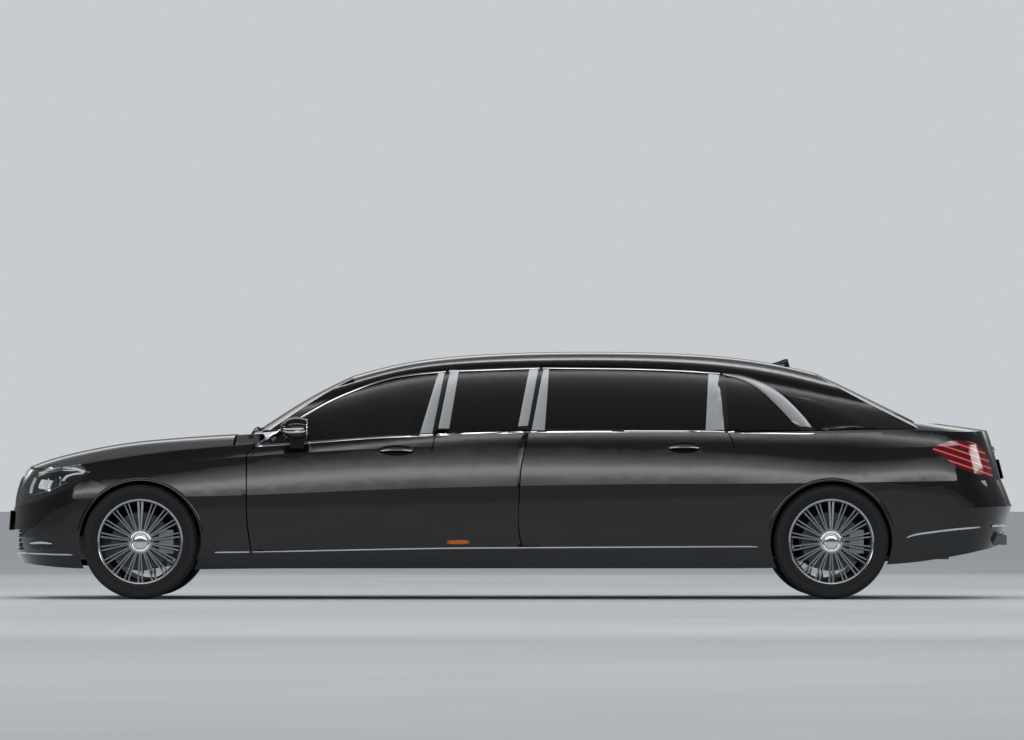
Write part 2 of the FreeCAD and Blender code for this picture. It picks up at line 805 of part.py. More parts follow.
def poles_edge(points):
    curve = Part.BSplineCurve()
    places, mults = knots(len(points), 3)
    curve.buildFromPolesMultsKnots(points, mults, places, False, 3)
    return curve.toShape()


def bonnet_prism(margin, rear):
    # Plan view of the bonnet: a set distance inside the crest of the wings, square at the back
    row = [p for p in crest_row(margin) if p.x < front_axle + wheelbase / 4]
    left_side = [Vector(p.x, p.y, 0) for p in row]
    right_side = [Vector(p.x, -p.y, 0) for p in row]
    last, other = left_side[-1], right_side[-1]
    wire = Part.Wire([poles_edge(left_side), Part.makeLine(last, other), poles_edge(right_side)])
    prism = Part.Face(wire).extrude(Vector(0, 0, roof_over))
    return prism.common(box(nose - overrun, rear, -far, far, 0, roof_over))


# Body side: sills, pillars, rails, fixed middle panel and rear quarter

def side_front_edge():
    # Fender side of the line ahead of the front door
    line = [(x - panel_gap, z) for x, z in side_points(door_front_fore_shares)]
    low, high = line[0], line[-1]
    return line, low, high


def left_side(panes):
    line, low, high = side_front_edge()
    base = -overrun
    ahead = [[(low[0], base), low], line, [high, (high[0], roof_over)],
             [(high[0], roof_over), (nose - overrun, roof_over)],
             [(nose - overrun, roof_over), (nose - overrun, base)],
             [(nose - overrun, base), (low[0], base)]]
    cut_ahead = side_prism(ahead, 0, far)
    middle = side_wall.common(belt_region)
    rear = side_wall.common(below(deck_centre_shares, deck_edge_shares, 0))
    rear = rear.common(box(along(quarter_start_share), -nose + overrun, -far, 0, -overrun, roof_over))
    cabin = cabin_shell.common(left).cut(belt_lap_region)
    cabin = cabin.common(box(nose, -nose, -far, -roof_half, level(belt_line_shares[0][1]) - belt_lap,
                             roof_over))
    cabin = cabin.cut(screen_holes())
    for glass in panes:
        cabin = cabin.cut(glass)
    rear = rear.cut(lid_prism(shut_gap)).fuse(deck_side())
    side = middle.fuse(rear).cut(cut_ahead).fuse(cabin).cut(lid_space()).fuse(gutter())
    side = door_opening(side, front_door)
    side = door_opening(side, rear_door)
    for segments in (front_door, rear_door):
        side = side.cut(hinge_swing(segments))
    side = side.cut(through(middle_window)).cut(through(quarter_window)).cut(fixed_glass())
    side = side.cut(wheel_prism(rear_axle, arch_radius))
    bumper = side_prism(rear_bumper_outline(), 0, far)
    lamp = side_prism(outline(*tail_lamp_shares), across(tail_lamp_half_share), far)
    side = side.cut(bumper).cut(lamp)
    return largest(side)


def rear_bumper_outline():
    line = side_points(bumper_rear_top_shares)
    first, last = line[0], line[-1]
    low = -overrun
    return [line, [last, (last[0], low)], [(last[0], low), (first[0], low)], [(first[0], low), first]]




def save(name, shape):
    shape.exportStep("parts/" + name + ".step")
    print(name, len(shape.Solids), shape.isValid(), flush=True)


def rear_parts():
    # Rear bumper, tail lamp and boot lid share the tail of the body
    tail = box(rear_axle, -nose + overrun, -far, 0, -overrun, roof_over)
    skin = body_wall(0, fender_thickness).common(below(deck_centre_shares, deck_edge_shares, 0)).common(tail)
    lid_region = lid_prism(0)
    bumper = skin.common(side_prism(rear_bumper_outline(), 0, far)).cut(wheel_prism(rear_axle, arch_radius))
    lamp = skin.common(side_prism(outline(*tail_lamp_shares), across(tail_lamp_half_share), far))
    lamp = lamp.cut(lid_prism(shut_gap)).cut(side_prism(rear_bumper_outline(), 0, far))
    lid = skin.common(lid_region).cut(side_prism(grow_down(rear_bumper_outline()), 0, far))
    return bumper, lamp, lid


def grow_down(segments):
    return [[(x, z + shut_gap) for x, z in segment] for segment in segments]


def lid_prism(gap):
    # Rear face of the boot lid seen from behind, with its gap
    points = [(-(y + gap), z) for y, z in front_points(lid_rear_shares)]
    low, high = points[0], points[-1]
    segments = [[(0, low[1]), low], points, [high, (high[0], roof_over)],
                [(high[0], roof_over), (0, roof_over)],
                [(0, roof_over), (0, low[1])]]
    return front_prism(segments, along(tail_zone_share), -nose + overrun)


def lid_plan(gap):
    # Top of the boot lid seen from above
    points = [(x, -(y + gap)) for x, y in half_points(lid_half_shares)]
    front = along(lid_front_share) - gap
    first = (front, points[0][1])
    back = (-nose + overrun, points[-1][1])
    segments = [[(front, 0), first], [first] + points[1:], [points[-1], back], [back, (back[0], 0)],
                [(back[0], 0), (front, 0)]]
    return plan_prism(segments, 0, roof_over)


def lid_space():
    # Room for the boot lid down to its seat
    depth = lid_thickness + seat_gap
    return lid_plan(shut_gap).common(top_wall(deck_centre_shares, deck_edge_shares, -overrun / 4, depth))


def deck_side():
    # Top of the rear quarter, between the boot lid and the crest
    top = top_wall(deck_centre_shares, deck_edge_shares, 0, lid_thickness).common(body_solid_half())
    zone = box(along(deck_side_share), -nose, -far, -across(shelf_half_share), 0, roof_over)
    return top.common(zone.fuse(lid_plan(gutter_width)))


def gutter():
    # Drip channel that carries the edge of the boot lid
    start = lid_thickness + seat_gap
    under = top_wall(deck_centre_shares, deck_edge_shares, start, start + gutter_thickness)
    ring = lid_plan(gutter_width).cut(lid_plan(-gutter_width))
    ahead = box(along(deck_side_share), along(tail_zone_share), -far, 0, 0, roof_over)
    return under.common(ring).common(body_solid_half()).common(ahead)


def boot_lid(rear_face):
    top = top_wall(deck_centre_shares, deck_edge_shares, 0, lid_thickness)
    half = top.common(lid_plan(0)).common(body_solid_half())
    half = half.fuse(rear_face)
    return half.fuse(mirrored(half))


def body_solid_half():
    # Inside of the body's left half, for trimming what lies under its skin
    outer = body_nets(touch)
    middle = [[[Vector(p.x, 0, p.z) for p in row] for row in net] for net in outer]
    return thick(outer, middle)


def deck_panel():
    # Shelf under the rear window, fixed strip ahead of the boot lid, and the window's lower frame
    end = along(lid_front_share) - shut_gap
    half = across(shelf_half_share)
    top = top_wall(deck_centre_shares, deck_edge_shares, 0, lid_thickness)
    shelf = top.common(box(rear_bulkhead, end, -half, half, 0, roof_over))
    low_frame = cabin_shell.common(box(0, end, -roof_half, roof_half, 0, level(frame_split_share)))
    return shelf.fuse(low_frame.cut(screen_holes()))


def cowl():
    # Panel under the windscreen, with the windscreen's lower frame
    top = top_wall(bonnet_centre_shares, bonnet_edge_shares, sheet / 4, sheet + sheet / 4)
    half = across(cowl_half_share)
    plate = top.common(box(along(cowl_share) + cowl_gap, front_bulkhead + sheet, -half, half, 0, roof_over))
    door_room = side_prism(grow(front_door, panel_gap), cowl_door_side, far)
    plate = plate.cut(door_room).cut(mirrored(door_room))
    low_frame = cabin_shell.common(box(nose, 0, -roof_half, roof_half, 0, level(frame_split_share)))
    return plate.fuse(low_frame.cut(screen_holes()))


def front_parts():
    # Front bumper, headlamp and fender share the nose of the body
    region = body_wall(0, fender_thickness).common(below(bonnet_centre_shares, bonnet_edge_shares, 0))
    rebate = top_wall(bonnet_centre_shares, bonnet_edge_shares, -overrun / 4, bonnet_thickness + seat_gap)
    region = region.cut(rebate.common(bonnet_prism(bonnet_margin - shut_gap, along(cowl_share) + cowl_gap)))
    arch = wheel_prism(front_axle, arch_radius)
    top = side_points(bumper_front_top_shares)
    rear = side_points(bumper_front_rear_shares)
    low = -overrun
    side = [top, rear, [rear[-1], (rear[-1][0], low)], [(rear[-1][0], low), (top[0][0], low)],
            [(top[0][0], low), top[0]]]
    lower = side_prism(side, 0, far)
    centre = box(nose - overrun, along(nose_zone_share), -headlamp_inner_half, 0,
                 level(bumper_front_top_shares[0][1]), roof_over)
    mask = lower.fuse(centre)
    bumper = region.common(mask).cut(arch)
    grille_hole = box(nose - overrun, along(nose_zone_share), -grille_half, 0, level(grille_low_share),
                      level(grille_high_share))
    intake_hole = box(nose - overrun, along(nose_zone_share), -intake_half, 0, level(intake_low_share),
                      level(intake_high_share))
    lamp_region = side_prism(outline(*headlamp_shares), headlamp_inner_half + panel_gap, far)
    lamp = region.common(lamp_region).cut(mask)
    line, first, last = side_front_edge()
    behind = [[(first[0], low), first], line, [last, (last[0], roof_over)],
              [(last[0], roof_over), (-nose, roof_over)], [(-nose, roof_over), (-nose, low)],
              [(-nose, low), (first[0], low)]]
    fender = region.cut(mask).cut(lamp_region).cut(arch)
    fender = fender.cut(side_prism([[(x + shut_gap - panel_gap, z) for x, z in s] for s in behind], 0, far))
    grille_region = region.common(grille_hole)
    return bumper.cut(grille_hole).cut(intake_hole), lamp, fender, grille_region


def bonnet():
    top = top_wall(bonnet_centre_shares, bonnet_edge_shares, 0, bonnet_thickness)
    return top.common(bonnet_prism(bonnet_margin, along(cowl_share)))


def roof_panel(panes):
    zone = box(nose, -nose, -roof_half, roof_half, level(frame_split_share), roof_over)
    roof = cabin_shell.common(zone).cut(screen_holes())
    for glass in panes:
        roof = roof.cut(glass)
    return roof


def screen_holes():
    front = screen_prism(screen_glass_shares, -screen_frame, nose, 0)
    return front.fuse(screen_prism(backlight_glass_shares, -screen_frame, 0, -nose))


def screen_prism(shares, distance, start, end):
    right = front_points(shares)
    mirror = [(-y, z) for y, z in reversed(right[1:-1])]
    low, low_corner, high_corner, high = right
    segments = [[mirror[1], low, low_corner], [low_corner, high_corner], [high_corner, high, mirror[0]],
                [mirror[0], mirror[1]]]
    return front_prism(grow(segments, distance) if distance else segments, start, end)


def pane(shares, line, sweep, sign, start, end):
    outer = screen_net(line, sweep, 0)
    inner = screen_net(line, sweep, sign * glass_thickness)
    return thick([outer], [inner]).common(screen_prism(shares, 0, start, end))


def tyre():
    # Section of the tyre about its axle: bead, bulging wall, rounded shoulder, flat tread
    outer = tyre_diameter / 2
    bead = rim_diameter / 2 - tyre_lap
    half = tyre_width / 2
    points = [Vector(0, half * wide, bead + (outer - bead) * rise) for wide, rise in tyre_section_shares]
    points += [Vector(0, -p.y, p.z) for p in reversed(points)]
    wire = Part.makePolygon(points + points[:1])
    return Part.Face(wire).revolve(Vector(0, 0, 0), Vector(0, 1, 0), 360)


def rim():
    # Barrel, twin thin spokes and hub, outer face towards -Y
    bead = rim_diameter / 2 - tyre_lap
    half = tyre_width / 2
    lip = half * rim_width_share
    outer = [(-lip, bead), (-lip, bead - rim_lip), (-lip + rim_lip, bead - rim_lip * rim_step_share),
             (lip, bead - rim_lip * rim_barrel_share), (lip, bead)]
    points = [Vector(0, y, r) for y, r in outer]
    barrel = Part.Face(Part.makePolygon(points + points[:1])).revolve(Vector(0, 0, 0), Vector(0, 1, 0), 360)
    face = rim_face
    hub = tube(hub_diameter / 2, Vector(0, face, 0), Vector(0, face + hub_depth, 0))
    cap = tube(hub_cap_diameter / 2, Vector(0, face - rim_dish * cap_rise_share, 0), Vector(0, face, 0))
    inner_r = hub_diameter / 2 - spoke_width
    outer_r = bead - rim_lip * spoke_end_share
    ribs = []
    for index in range(spoke_pairs):
        for side in (-1, 1):
            near = side * spoke_width / 2
            wide = side * spoke_spread / 2
            profile = [Vector(near - spoke_width / 2, 0, inner_r),
                       Vector(near + spoke_width / 2, 0, inner_r),
                       Vector(wide + spoke_width / 2, 0, outer_r),
                       Vector(wide - spoke_width / 2, 0, outer_r)]
            rib = Part.Face(Part.makePolygon(profile + profile[:1])).extrude(Vector(0, spoke_depth, 0))
            rib.translate(Vector(0, face, 0))
            rib.rotate(Vector(0, 0, 0), Vector(0, 1, 0), 360 * index / spoke_pairs)
            ribs.append(rib)
    disc = tube(disc_diameter / 2, Vector(0, disc_face, 0), Vector(0, disc_back, 0))
    stub = tube(stub_radius + stub_clearance, Vector(0, disc_back - stub_length - touch, 0),
                Vector(0, disc_back, 0))
    return barrel.multiFuse(ribs + [hub, cap, disc]).cut(stub)


def at_wheel(shape, x, side):
    copy = shape.copy() if side < 0 else mirrored(shape)
    copy.translate(Vector(x, side * wheel_side, axle_height))
    return copy


# Inside and under the body

def floor(trims):
    # Floor pan with its tunnel, bulkheads, wheel houses, side rails, boot floor and bumper beams
    half = floor_half
    top = floor_height + floor_thickness
    pan = box(front_bulkhead, rear_bulkhead, -half, half, floor_height, top)
    tunnel = box(front_bulkhead, rear_bulkhead, -tunnel_half, tunnel_half, floor_height, top + tunnel_height)
    bore = box(front_bulkhead - overrun, rear_bulkhead + overrun, sheet - tunnel_half, tunnel_half - sheet,
               -overrun, top + tunnel_height - sheet)
    front_wall = box(front_bulkhead, front_bulkhead + sheet, -pillar_side, pillar_side, floor_height,
                     bulkhead_height)
    rear_wall = box(rear_bulkhead, rear_bulkhead + sheet, -half, half, floor_height, rear_bulkhead_height)
    boot = box(rear_bulkhead, tail_beam, -boot_half, boot_half, boot_floor_height, boot_floor_height + sheet)
    shelf_wall = box(rear_bulkhead, rear_bulkhead + sheet, -shelf_wall_half, shelf_wall_half,
                     rear_bulkhead_height - sheet,
                     shelf_wall_height)
    pieces = [pan, tunnel, front_wall, rear_wall, boot, shelf_wall]
    house = tyre_diameter / 2 + front_house_clearance
    for sign in (-1, 1):
        inner, outer = sign * apron_half, sign * half
        y0, y1 = min(inner, outer), max(inner, outer)
        a0, a1 = sorted((inner, inner - sign * sheet))
        pieces.append(box(nose_beam, front_bulkhead, a0, a1, rail_low, shelf_height))
        shelf_end = front_bulkhead - pillar_reach + touch
        pieces.append(box(front_axle - house, shelf_end, y0, y1, shelf_height - sheet, shelf_height))
        pieces.append(box(front_axle - house - sheet, front_axle - house, y0, y1, rail_low, shelf_height))
        pieces.append(box(front_axle + house, front_axle + house + sheet, y0, y1, floor_height,
                          shelf_height))
        r0, r1 = sorted((inner - sign * sheet, inner - sign * (sheet + rail_width)))
        pieces.append(box(nose_beam, front_bulkhead, r0, r1, rail_low, rail_low + rail_width))
        b0, b1 = sorted((sign * (boot_half - sheet), sign * (boot_half - sheet - rail_width)))
        pieces.append(box(rear_bulkhead, tail_beam, b0, b1, boot_floor_height - rail_width,
                          boot_floor_height))
        pieces.append(wheel_house(sign))
        p0, p1 = sorted((sign * pillar_side, sign * (pillar_side - sheet)))
        q0, q1 = sorted((sign * (pillar_side - sheet), sign * (half + pillar_depth)))
        start = front_bulkhead - pillar_reach
        pieces.append(box(start, front_bulkhead + sheet, p0, p1, floor_height, bulkhead_height))
        pieces.append(box(start, start + pillar_depth, q0, q1, floor_height, bulkhead_height - pillar_depth))
    pieces.append(box(nose_beam - beam_depth, nose_beam, -beam_half, beam_half, beam_low,
                      beam_low + beam_height))
    pieces.append(box(tail_beam, tail_beam + beam_depth, -tail_beam_half, tail_beam_half,
                      boot_floor_height - rail_width,
                      boot_floor_height + sheet))
    pan = joined(pieces).cut(bore).fuse(cowl()).fuse(deck_panel())
    for sign in (-1, 1):
        pan = pan.cut(rear_wheel_space(sign))
    for trim in trims:
        pan = pan.cut(trim).cut(mirrored(trim))
    return largest(pan)


def largest(shape):
    return max(shape.Solids, key=lambda solid: solid.Volume)


def wheel_house(sign):
    # Half round tub over a rear wheel
    radius = tyre_diameter / 2 + wheel_tub_clearance + sheet / 2
    inner = sign * (boot_half - sheet)
    outer = sign * floor_half
    drum = tube(radius, Vector(rear_axle, inner, axle_height), Vector(rear_axle, outer, axle_height))
    y0, y1 = sorted((inner, outer))
    return drum.common(box(rear_axle - far, rear_axle + far, y0, y1, boot_floor_height, height))


def rear_wheel_space(sign):
    radius = tyre_diameter / 2 + wheel_tub_clearance - sheet / 2
    return tube(radius, Vector(rear_axle, sign * boot_half, axle_height),
                Vector(rear_axle, sign * far, axle_height))


def profile_solid(points, y0, y1):
    # Solid from a side view polygon of (x, z) points
    loop = [Vector(x, y0, z) for x, z in points]
    return Part.Face(Part.makePolygon(loop + loop[:1])).extrude(Vector(0, y1 - y0, 0))


def dashboard():
    front = front_bulkhead + sheet
    depth = dash_depth
    low, high = dash_low, dash_low + dash_height
    rise = dash_height
    points = [(front, low), (front + depth * dash_foot_share, low),
              (front + depth * dash_knee_share, low + rise * dash_knee_height_share),
              (front + depth, low + rise * dash_lip_height_share),
              (front + depth * dash_face_share, low + rise * dash_face_height_share),
              (front + depth * dash_top_share, high), (front, high)]
    dash = profile_solid(points, -dash_half, dash_half)
    console = box(front, front + console_length, -console_half, console_half,
                  floor_height + floor_thickness + tunnel_height, dash_low + sheet)
    end = Vector(steering_x, steering_y, steering_z)
    start = end - steering_axis() * column_length
    column = tube(column_radius, start, end - steering_axis() * hub_gap)
    return dash.fuse(console).fuse(column)


def steering_axis():
    angle = math.radians(column_rake)
    return Vector(math.cos(angle), 0, math.sin(angle))


def steering_wheel():
    axis = steering_axis()
    centre = Vector(steering_x, steering_y, steering_z)
    ring = Part.makeTorus(steering_radius, steering_grip, centre, axis)
    hub = tube(steering_radius * wheel_hub_share, centre - axis * steering_grip,
               centre + axis * steering_grip)
    spokes = []
    up = Vector(-axis.z, 0, axis.x)
    for angle in (0, 180, 270):
        spoke = Part.makeBox(steering_radius * spoke_reach_share, steering_grip * 2, steering_grip,
                             Vector(0, -steering_grip, -steering_grip / 2))
        spoke.rotate(Vector(0, 0, 0), Vector(0, 0, 1), angle + 90)
        spoke.rotate(Vector(0, 0, 0), Vector(0, 1, 0), 90 - column_rake)
        spoke.translate(centre)
        spokes.append(spoke)
    return ring.multiFuse([hub] + spokes)


def seat(x, y, facing):
    # Base, cushion, raked back and headrest of one seat; facing -1 looks to the nose
    def at(u, z):
        return (x + facing * u, floor_height + floor_thickness + z)
    foot, toe = seat_depth * seat_base_share, seat_depth * (1 - seat_base_share)
    base = [at(foot, 0), at(toe, 0), at(toe, cushion_low), at(foot, cushion_low)]
    cushion = [at(0, cushion_low), at(seat_depth, cushion_low),
               at(seat_depth, cushion_low + cushion_thickness),
               at(0, cushion_low + cushion_thickness)]
    rake, thickness = back_rake, back_thickness
    back = [at(back_foot_share * seat_depth, cushion_low), at(-thickness * back_rear_share, cushion_low),
            at(-rake - thickness * back_rear_share, back_height), at(-rake, back_height)]
    top, lean = back_height + headrest_height, rake * headrest_rake_share
    rest = [at(-rake - thickness * headrest_rear_share, back_height),
            at(-rake - thickness * headrest_front_share, back_height),
            at(-lean - thickness * headrest_front_share, top),
            at(-lean - thickness * headrest_rear_share, top)]
    half = seat_width / 2
    widths = [(base, seat_base_width_share), (cushion, 1), (back, back_width_share),
              (rest, headrest_width_share)]
    solids = [profile_solid(points, y - half * share, y + half * share) for points, share in widths]
    return joined(solids)


def seats(places):
    made = []
    for x, facing in places:
        made += [seat(x, -seat_side, facing), seat(x, seat_side, facing)]
    return Part.makeCompound(made)


def partition(trims):
    # Wall with a window between the driver and the passengers
    low = floor_height + floor_thickness
    belt = level(partition_belt_share)
    lean = partition_lean
    points = [(partition_x, low), (partition_x + sheet, low), (partition_x + sheet, belt),
              (partition_x + sheet + lean, roof_over), (partition_x + lean, roof_over), (partition_x, belt)]
    wall = profile_solid(points, -floor_half, floor_half)
    hole = box(partition_x - overrun, partition_x + overrun, -partition_window_half, partition_window_half,
               belt + sheet, level(partition_top_share))
    low_room = box(nose, -nose, -floor_half, floor_half, 0, belt)
    post_room = box(nose, -nose, -partition_post_half, partition_post_half, belt, belt + partition_lap)
    wall = wall.cut(hole).common(cabin_inside.fuse(low_room).fuse(post_room))
    for trim in trims:
        wall = wall.cut(trim).cut(mirrored(trim))
    tunnel = box(partition_x - overrun, partition_x + overrun, -tunnel_half, tunnel_half, 0,
                 low + tunnel_height)
    return largest(wall.cut(tunnel))


def mirror_head():
    # Door mirror: rounded housing on a short arm
    half = half_width
    x, z = along(mirror_share), level(mirror_height_share)
    head = Part.makeSphere(1)
    matrix = FreeCAD.Matrix()
    matrix.scale(mirror_length / 2, mirror_width / 2, mirror_height / 2)
    head = head.transformGeometry(matrix)
    head.translate(Vector(x, -half - mirror_reach, z))
    head = head.cut(box(x + mirror_length * mirror_cut_share, x + mirror_length, -far, 0, 0, height))
    arm = box(x - mirror_arm / 2, x + mirror_arm / 2, -half - mirror_reach, -half + mirror_foot,
              z - mirror_height * mirror_arm_low_share, z - mirror_height * mirror_arm_high_share)
    return head.fuse(arm)


def engine():
    top = engine_low + engine_height
    block = box(engine_front, engine_front + engine_length, -engine_half, engine_half, engine_low, top)
    gearbox = box(engine_front + engine_length, front_bulkhead, -gearbox_half, gearbox_half, engine_low,
                  engine_low + 2 * gearbox_half)
    return block.fuse(gearbox)


def knuckle():
    # Upright with stub axle and brake calliper, wheel centre at the origin, outboard is -Y
    inner = kingpin_offset
    post = box(-upright_width / 2, upright_width / 2, inner - upright_width / 3, inner + upright_width / 3,
               -upright_low, upright_high)
    hub = tube(hub_diameter / 2 * carrier_share, Vector(0, disc_back + hub_clearance, 0),
               Vector(0, inner, 0))
    stub = tube(stub_radius, Vector(0, disc_back - stub_length, 0), Vector(0, inner, 0))
    return joined([post, hub, stub, calliper(inner)])


def calliper(inner):
    reach = disc_diameter / 2
    block = box(reach - calliper_depth, reach + calliper_wrap, disc_face - calliper_side, inner,
                -calliper_half,
                calliper_half)
    slot = tube(reach + disc_clearance, Vector(0, disc_face - disc_clearance, 0),
                Vector(0, disc_back + disc_clearance, 0))
    bracket = box(0, reach, inner - calliper_side / 2, inner, -calliper_half / 2, calliper_half / 2)
    return block.cut(slot).fuse(bracket)


def steered_room():
    # Round space that holds the left front tyre at every steering angle
    reach = math.hypot(tyre_diameter / 2, tyre_width / 2 + kingpin_offset) + swing_clearance
    return Part.makeSphere(reach, Vector(front_axle, kingpin_offset - wheel_side, axle_height))


def front_subframe():
    # Cross member with a lower arm to each upright
    cross = box(front_axle - cross_half, front_axle + cross_half, -apron_half, apron_half, cross_low,
                engine_low)
    pieces = [cross]
    for sign in (-1, 1):
        y0, y1 = sorted((sign * (apron_half - sheet), sign * (wheel_side - kingpin_offset)))
        low_end = axle_height - upright_low - arm_gap
        pieces.append(box(front_axle - arm_half, front_axle + arm_half, y0, y1, low_end - arm_thickness,
                          low_end))
        t0, t1 = sorted((sign * (apron_half - sheet), sign * (apron_half - 2 * sheet)))
        pieces.append(box(front_axle - cross_half, front_axle + cross_half, t0, t1, cross_low, rail_low))
    return joined(pieces)


def rear_subframe():
    # Cross member, final drive, half shafts and hub carriers of the rear axle, with the propeller shaft
    drive = box(rear_axle - drive_half, rear_axle + drive_half, -drive_half, drive_half,
                axle_height - drive_half, boot_floor_height - sheet)
    prop = tube(prop_radius, Vector(front_bulkhead, 0, prop_height),
                Vector(rear_axle - drive_half, 0, prop_height))
    pieces = [drive, prop]
    low = axle_height - upright_low
    for x in (rear_axle - cross_half, rear_axle + cross_half - sheet):
        pieces.append(box(x, x + sheet, -boot_half + 2 * sheet, boot_half - 2 * sheet, rear_cross_low,
                          boot_floor_height - rail_width))
    for sign in (-1, 1):
        carrier = at_wheel(knuckle(), rear_axle, sign)
        inner = sign * (wheel_side - kingpin_offset)
        shaft = tube(shaft_radius, Vector(rear_axle, 0, axle_height), Vector(rear_axle, inner, axle_height))
        y0, y1 = sorted((sign * hanger_side, inner))
        arm = box(rear_axle - cross_half, rear_axle + cross_half, y0, y1, low, low + arm_thickness)
        h0, h1 = sorted((sign * hanger_side, sign * (hanger_side + sheet)))
        hanger = box(rear_axle - cross_half, rear_axle + cross_half, h0, h1, low,
                     boot_floor_height - rail_width)
        pieces += [carrier, shaft, arm, hanger]
    return joined(pieces)


def exhaust():
    # Twin pipes in the tunnel, cross silencer and two tailpipes with flat tips
    pieces = []
    for sign in (-1, 1):
        y = sign * pipe_side
        pieces.append(tube(pipe_radius, Vector(front_bulkhead, y, pipe_height),
                           Vector(silencer_front + sheet, y, pipe_height)))
        lift = pipe_height + silencer_lift
        out = sign * tip_side
        tip_z = level(tip_height_share)
        pieces.append(tube(pipe_radius, Vector(silencer_front + silencer_length - sheet, out, lift),
                           Vector(along(tip_start_share) + sheet, out, tip_z)))
        tip = box(along(tip_start_share), along(tip_end_share), out - tip_half, out + tip_half,
                  tip_z - tip_thickness / 2, tip_z + tip_thickness / 2)
        pieces.append(tip)
    pieces.append(box(silencer_front, silencer_front + silencer_length, -silencer_half, silencer_half,
                      lift - silencer_height / 2, lift + silencer_height / 2))
    return joined(pieces)


def tip_space():
    # Room in the rear bumper for the two tailpipe tips
    low = level(tip_height_share) - tip_thickness / 2 - tip_gap
    high = level(tip_height_share) + tip_thickness / 2 + tip_gap
    reach = tip_half + tip_gap
    return both(box(along(tip_start_share), length, -tip_side - reach, reach - tip_side, low, high))


def grille(region):
    # Frame, flat louvres and centre bar in the nose opening
    low, high = level(grille_low_share), level(grille_high_share)
    x0, x1 = nose - overrun, along(nose_zone_share)
    inner = box(x0, x1, -grille_half + grille_frame, 0, low + grille_frame, high - grille_frame)
    frame = region.cut(inner)
    pitch = (high - low - 2 * grille_frame) / (louvre_count + 1)
    behind = region.common(inner).cut(body_wall(0, louvre_setback))
    bars = []
    for index in range(louvre_count):
        z = low + grille_frame + pitch * (index + 1)
        bars.append(box(x0, x1, -grille_half, 0, z - louvre_height / 2, z + louvre_height / 2))
    net = body_wall(fender_thickness - grille_net, fender_thickness).common(inner)
    half = joined([frame] + [behind.common(bar) for bar in bars] + [net])
    return half.fuse(mirrored(half))


def main():
    os.makedirs("parts", exist_ok=True)
    windscreen = pane(screen_glass_shares, windscreen_shares, screen_sweep, 1, nose, 0)
    rear_window = pane(backlight_glass_shares, backlight_shares, -backlight_sweep, -1, 0, -nose)
    side = left_side([windscreen, rear_window])
    save("body_side_left", side)
    save("body_side_right", mirrored(side))
    for name, segments, window in (("front", front_door, front_window),
                                   ("rear", rear_door, rear_window_side)):
        panel, glass = door_and_glass(segments, window)
        save("door_" + name + "_left", panel)
        save("door_" + name + "_right", mirrored(panel))
        save("glass_" + name + "_left", glass)
        save("glass_" + name + "_right", mirrored(glass))
        if name == "front":
            mirror = largest(mirror_head().cut(panel))
            save("mirror_left", mirror)
            save("mirror_right", mirrored(mirror))
    bumper, lamp, fender, grille_region = front_parts()
    rear_bumper, tail_lamp, lid_face = rear_parts()
    save("fixed_side_glass", both(fixed_glass()))
    bumper = bumper.cut(steered_room())
    save("front_bumper", largest(bumper.fuse(mirrored(bumper))))
    save("headlamps", both(lamp))
    save("fender_left", fender)
    save("fender_right", mirrored(fender))
    save("grille", grille(grille_region))
    rear_bumper = rear_bumper.cut(tip_space())
    save("rear_bumper", rear_bumper.fuse(mirrored(rear_bumper)))
    save("tail_lamps", both(tail_lamp))
    save("boot_lid", boot_lid(lid_face))
    save("bonnet", bonnet())
    save("roof_panel", roof_panel([windscreen, rear_window]))
    save("windscreen", windscreen)
    save("rear_window", rear_window)
    save("floor", floor([side, fender, bumper, rear_bumper, grille_region, lamp, windscreen, rear_window]))
    save("dashboard", dashboard())
    save("steering_wheel", steering_wheel())
    save("seats_front", seats([(front_seat_x, -1)]))
    save("seats_rear", seats([(jump_seat_x, 1), (rear_seat_x, -1)]))
    save("partition", partition([side]))
    save("engine", engine())
    save("exhaust", exhaust())
    save("front_subframe", front_subframe())
    save("rear_subframe", rear_subframe())
    wheel, rubber, upright = rim(), tyre(), knuckle()
    for sign, hand in ((-1, "left"), (1, "right")):
        save("knuckle_" + hand, at_wheel(upright, front_axle, sign))
        for x, end in ((front_axle, "front"), (rear_axle, "rear")):
            save("wheel_" + end + "_" + hand, at_wheel(wheel, x, sign))
            save("tyre_" + end + "_" + hand, at_wheel(rubber, x, sign))


def fixed_glass():
    middle = cabin_glass.common(through(middle_window, glass_seat))
    return Part.makeCompound([middle, cabin_glass.common(through(quarter_window, glass_seat))])


main()
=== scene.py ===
import bpy
import bmesh
import math
from mathutils import Matrix, Vector
from mathutils.bvhtree import BVHTree


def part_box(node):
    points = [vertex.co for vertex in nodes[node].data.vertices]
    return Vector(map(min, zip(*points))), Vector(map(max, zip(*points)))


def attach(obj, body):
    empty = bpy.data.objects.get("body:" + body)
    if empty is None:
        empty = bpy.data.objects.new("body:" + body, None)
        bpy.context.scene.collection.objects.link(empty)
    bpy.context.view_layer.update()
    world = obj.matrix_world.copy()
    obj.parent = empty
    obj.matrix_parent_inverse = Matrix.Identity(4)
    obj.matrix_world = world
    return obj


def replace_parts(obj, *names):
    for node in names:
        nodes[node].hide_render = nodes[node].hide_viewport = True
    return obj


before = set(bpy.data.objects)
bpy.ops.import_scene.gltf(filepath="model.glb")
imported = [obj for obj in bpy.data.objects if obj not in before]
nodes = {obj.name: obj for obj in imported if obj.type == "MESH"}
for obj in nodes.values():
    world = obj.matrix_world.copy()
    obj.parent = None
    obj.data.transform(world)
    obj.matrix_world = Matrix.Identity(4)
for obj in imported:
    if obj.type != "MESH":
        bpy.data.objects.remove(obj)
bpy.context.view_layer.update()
print("stage: frame loaded")


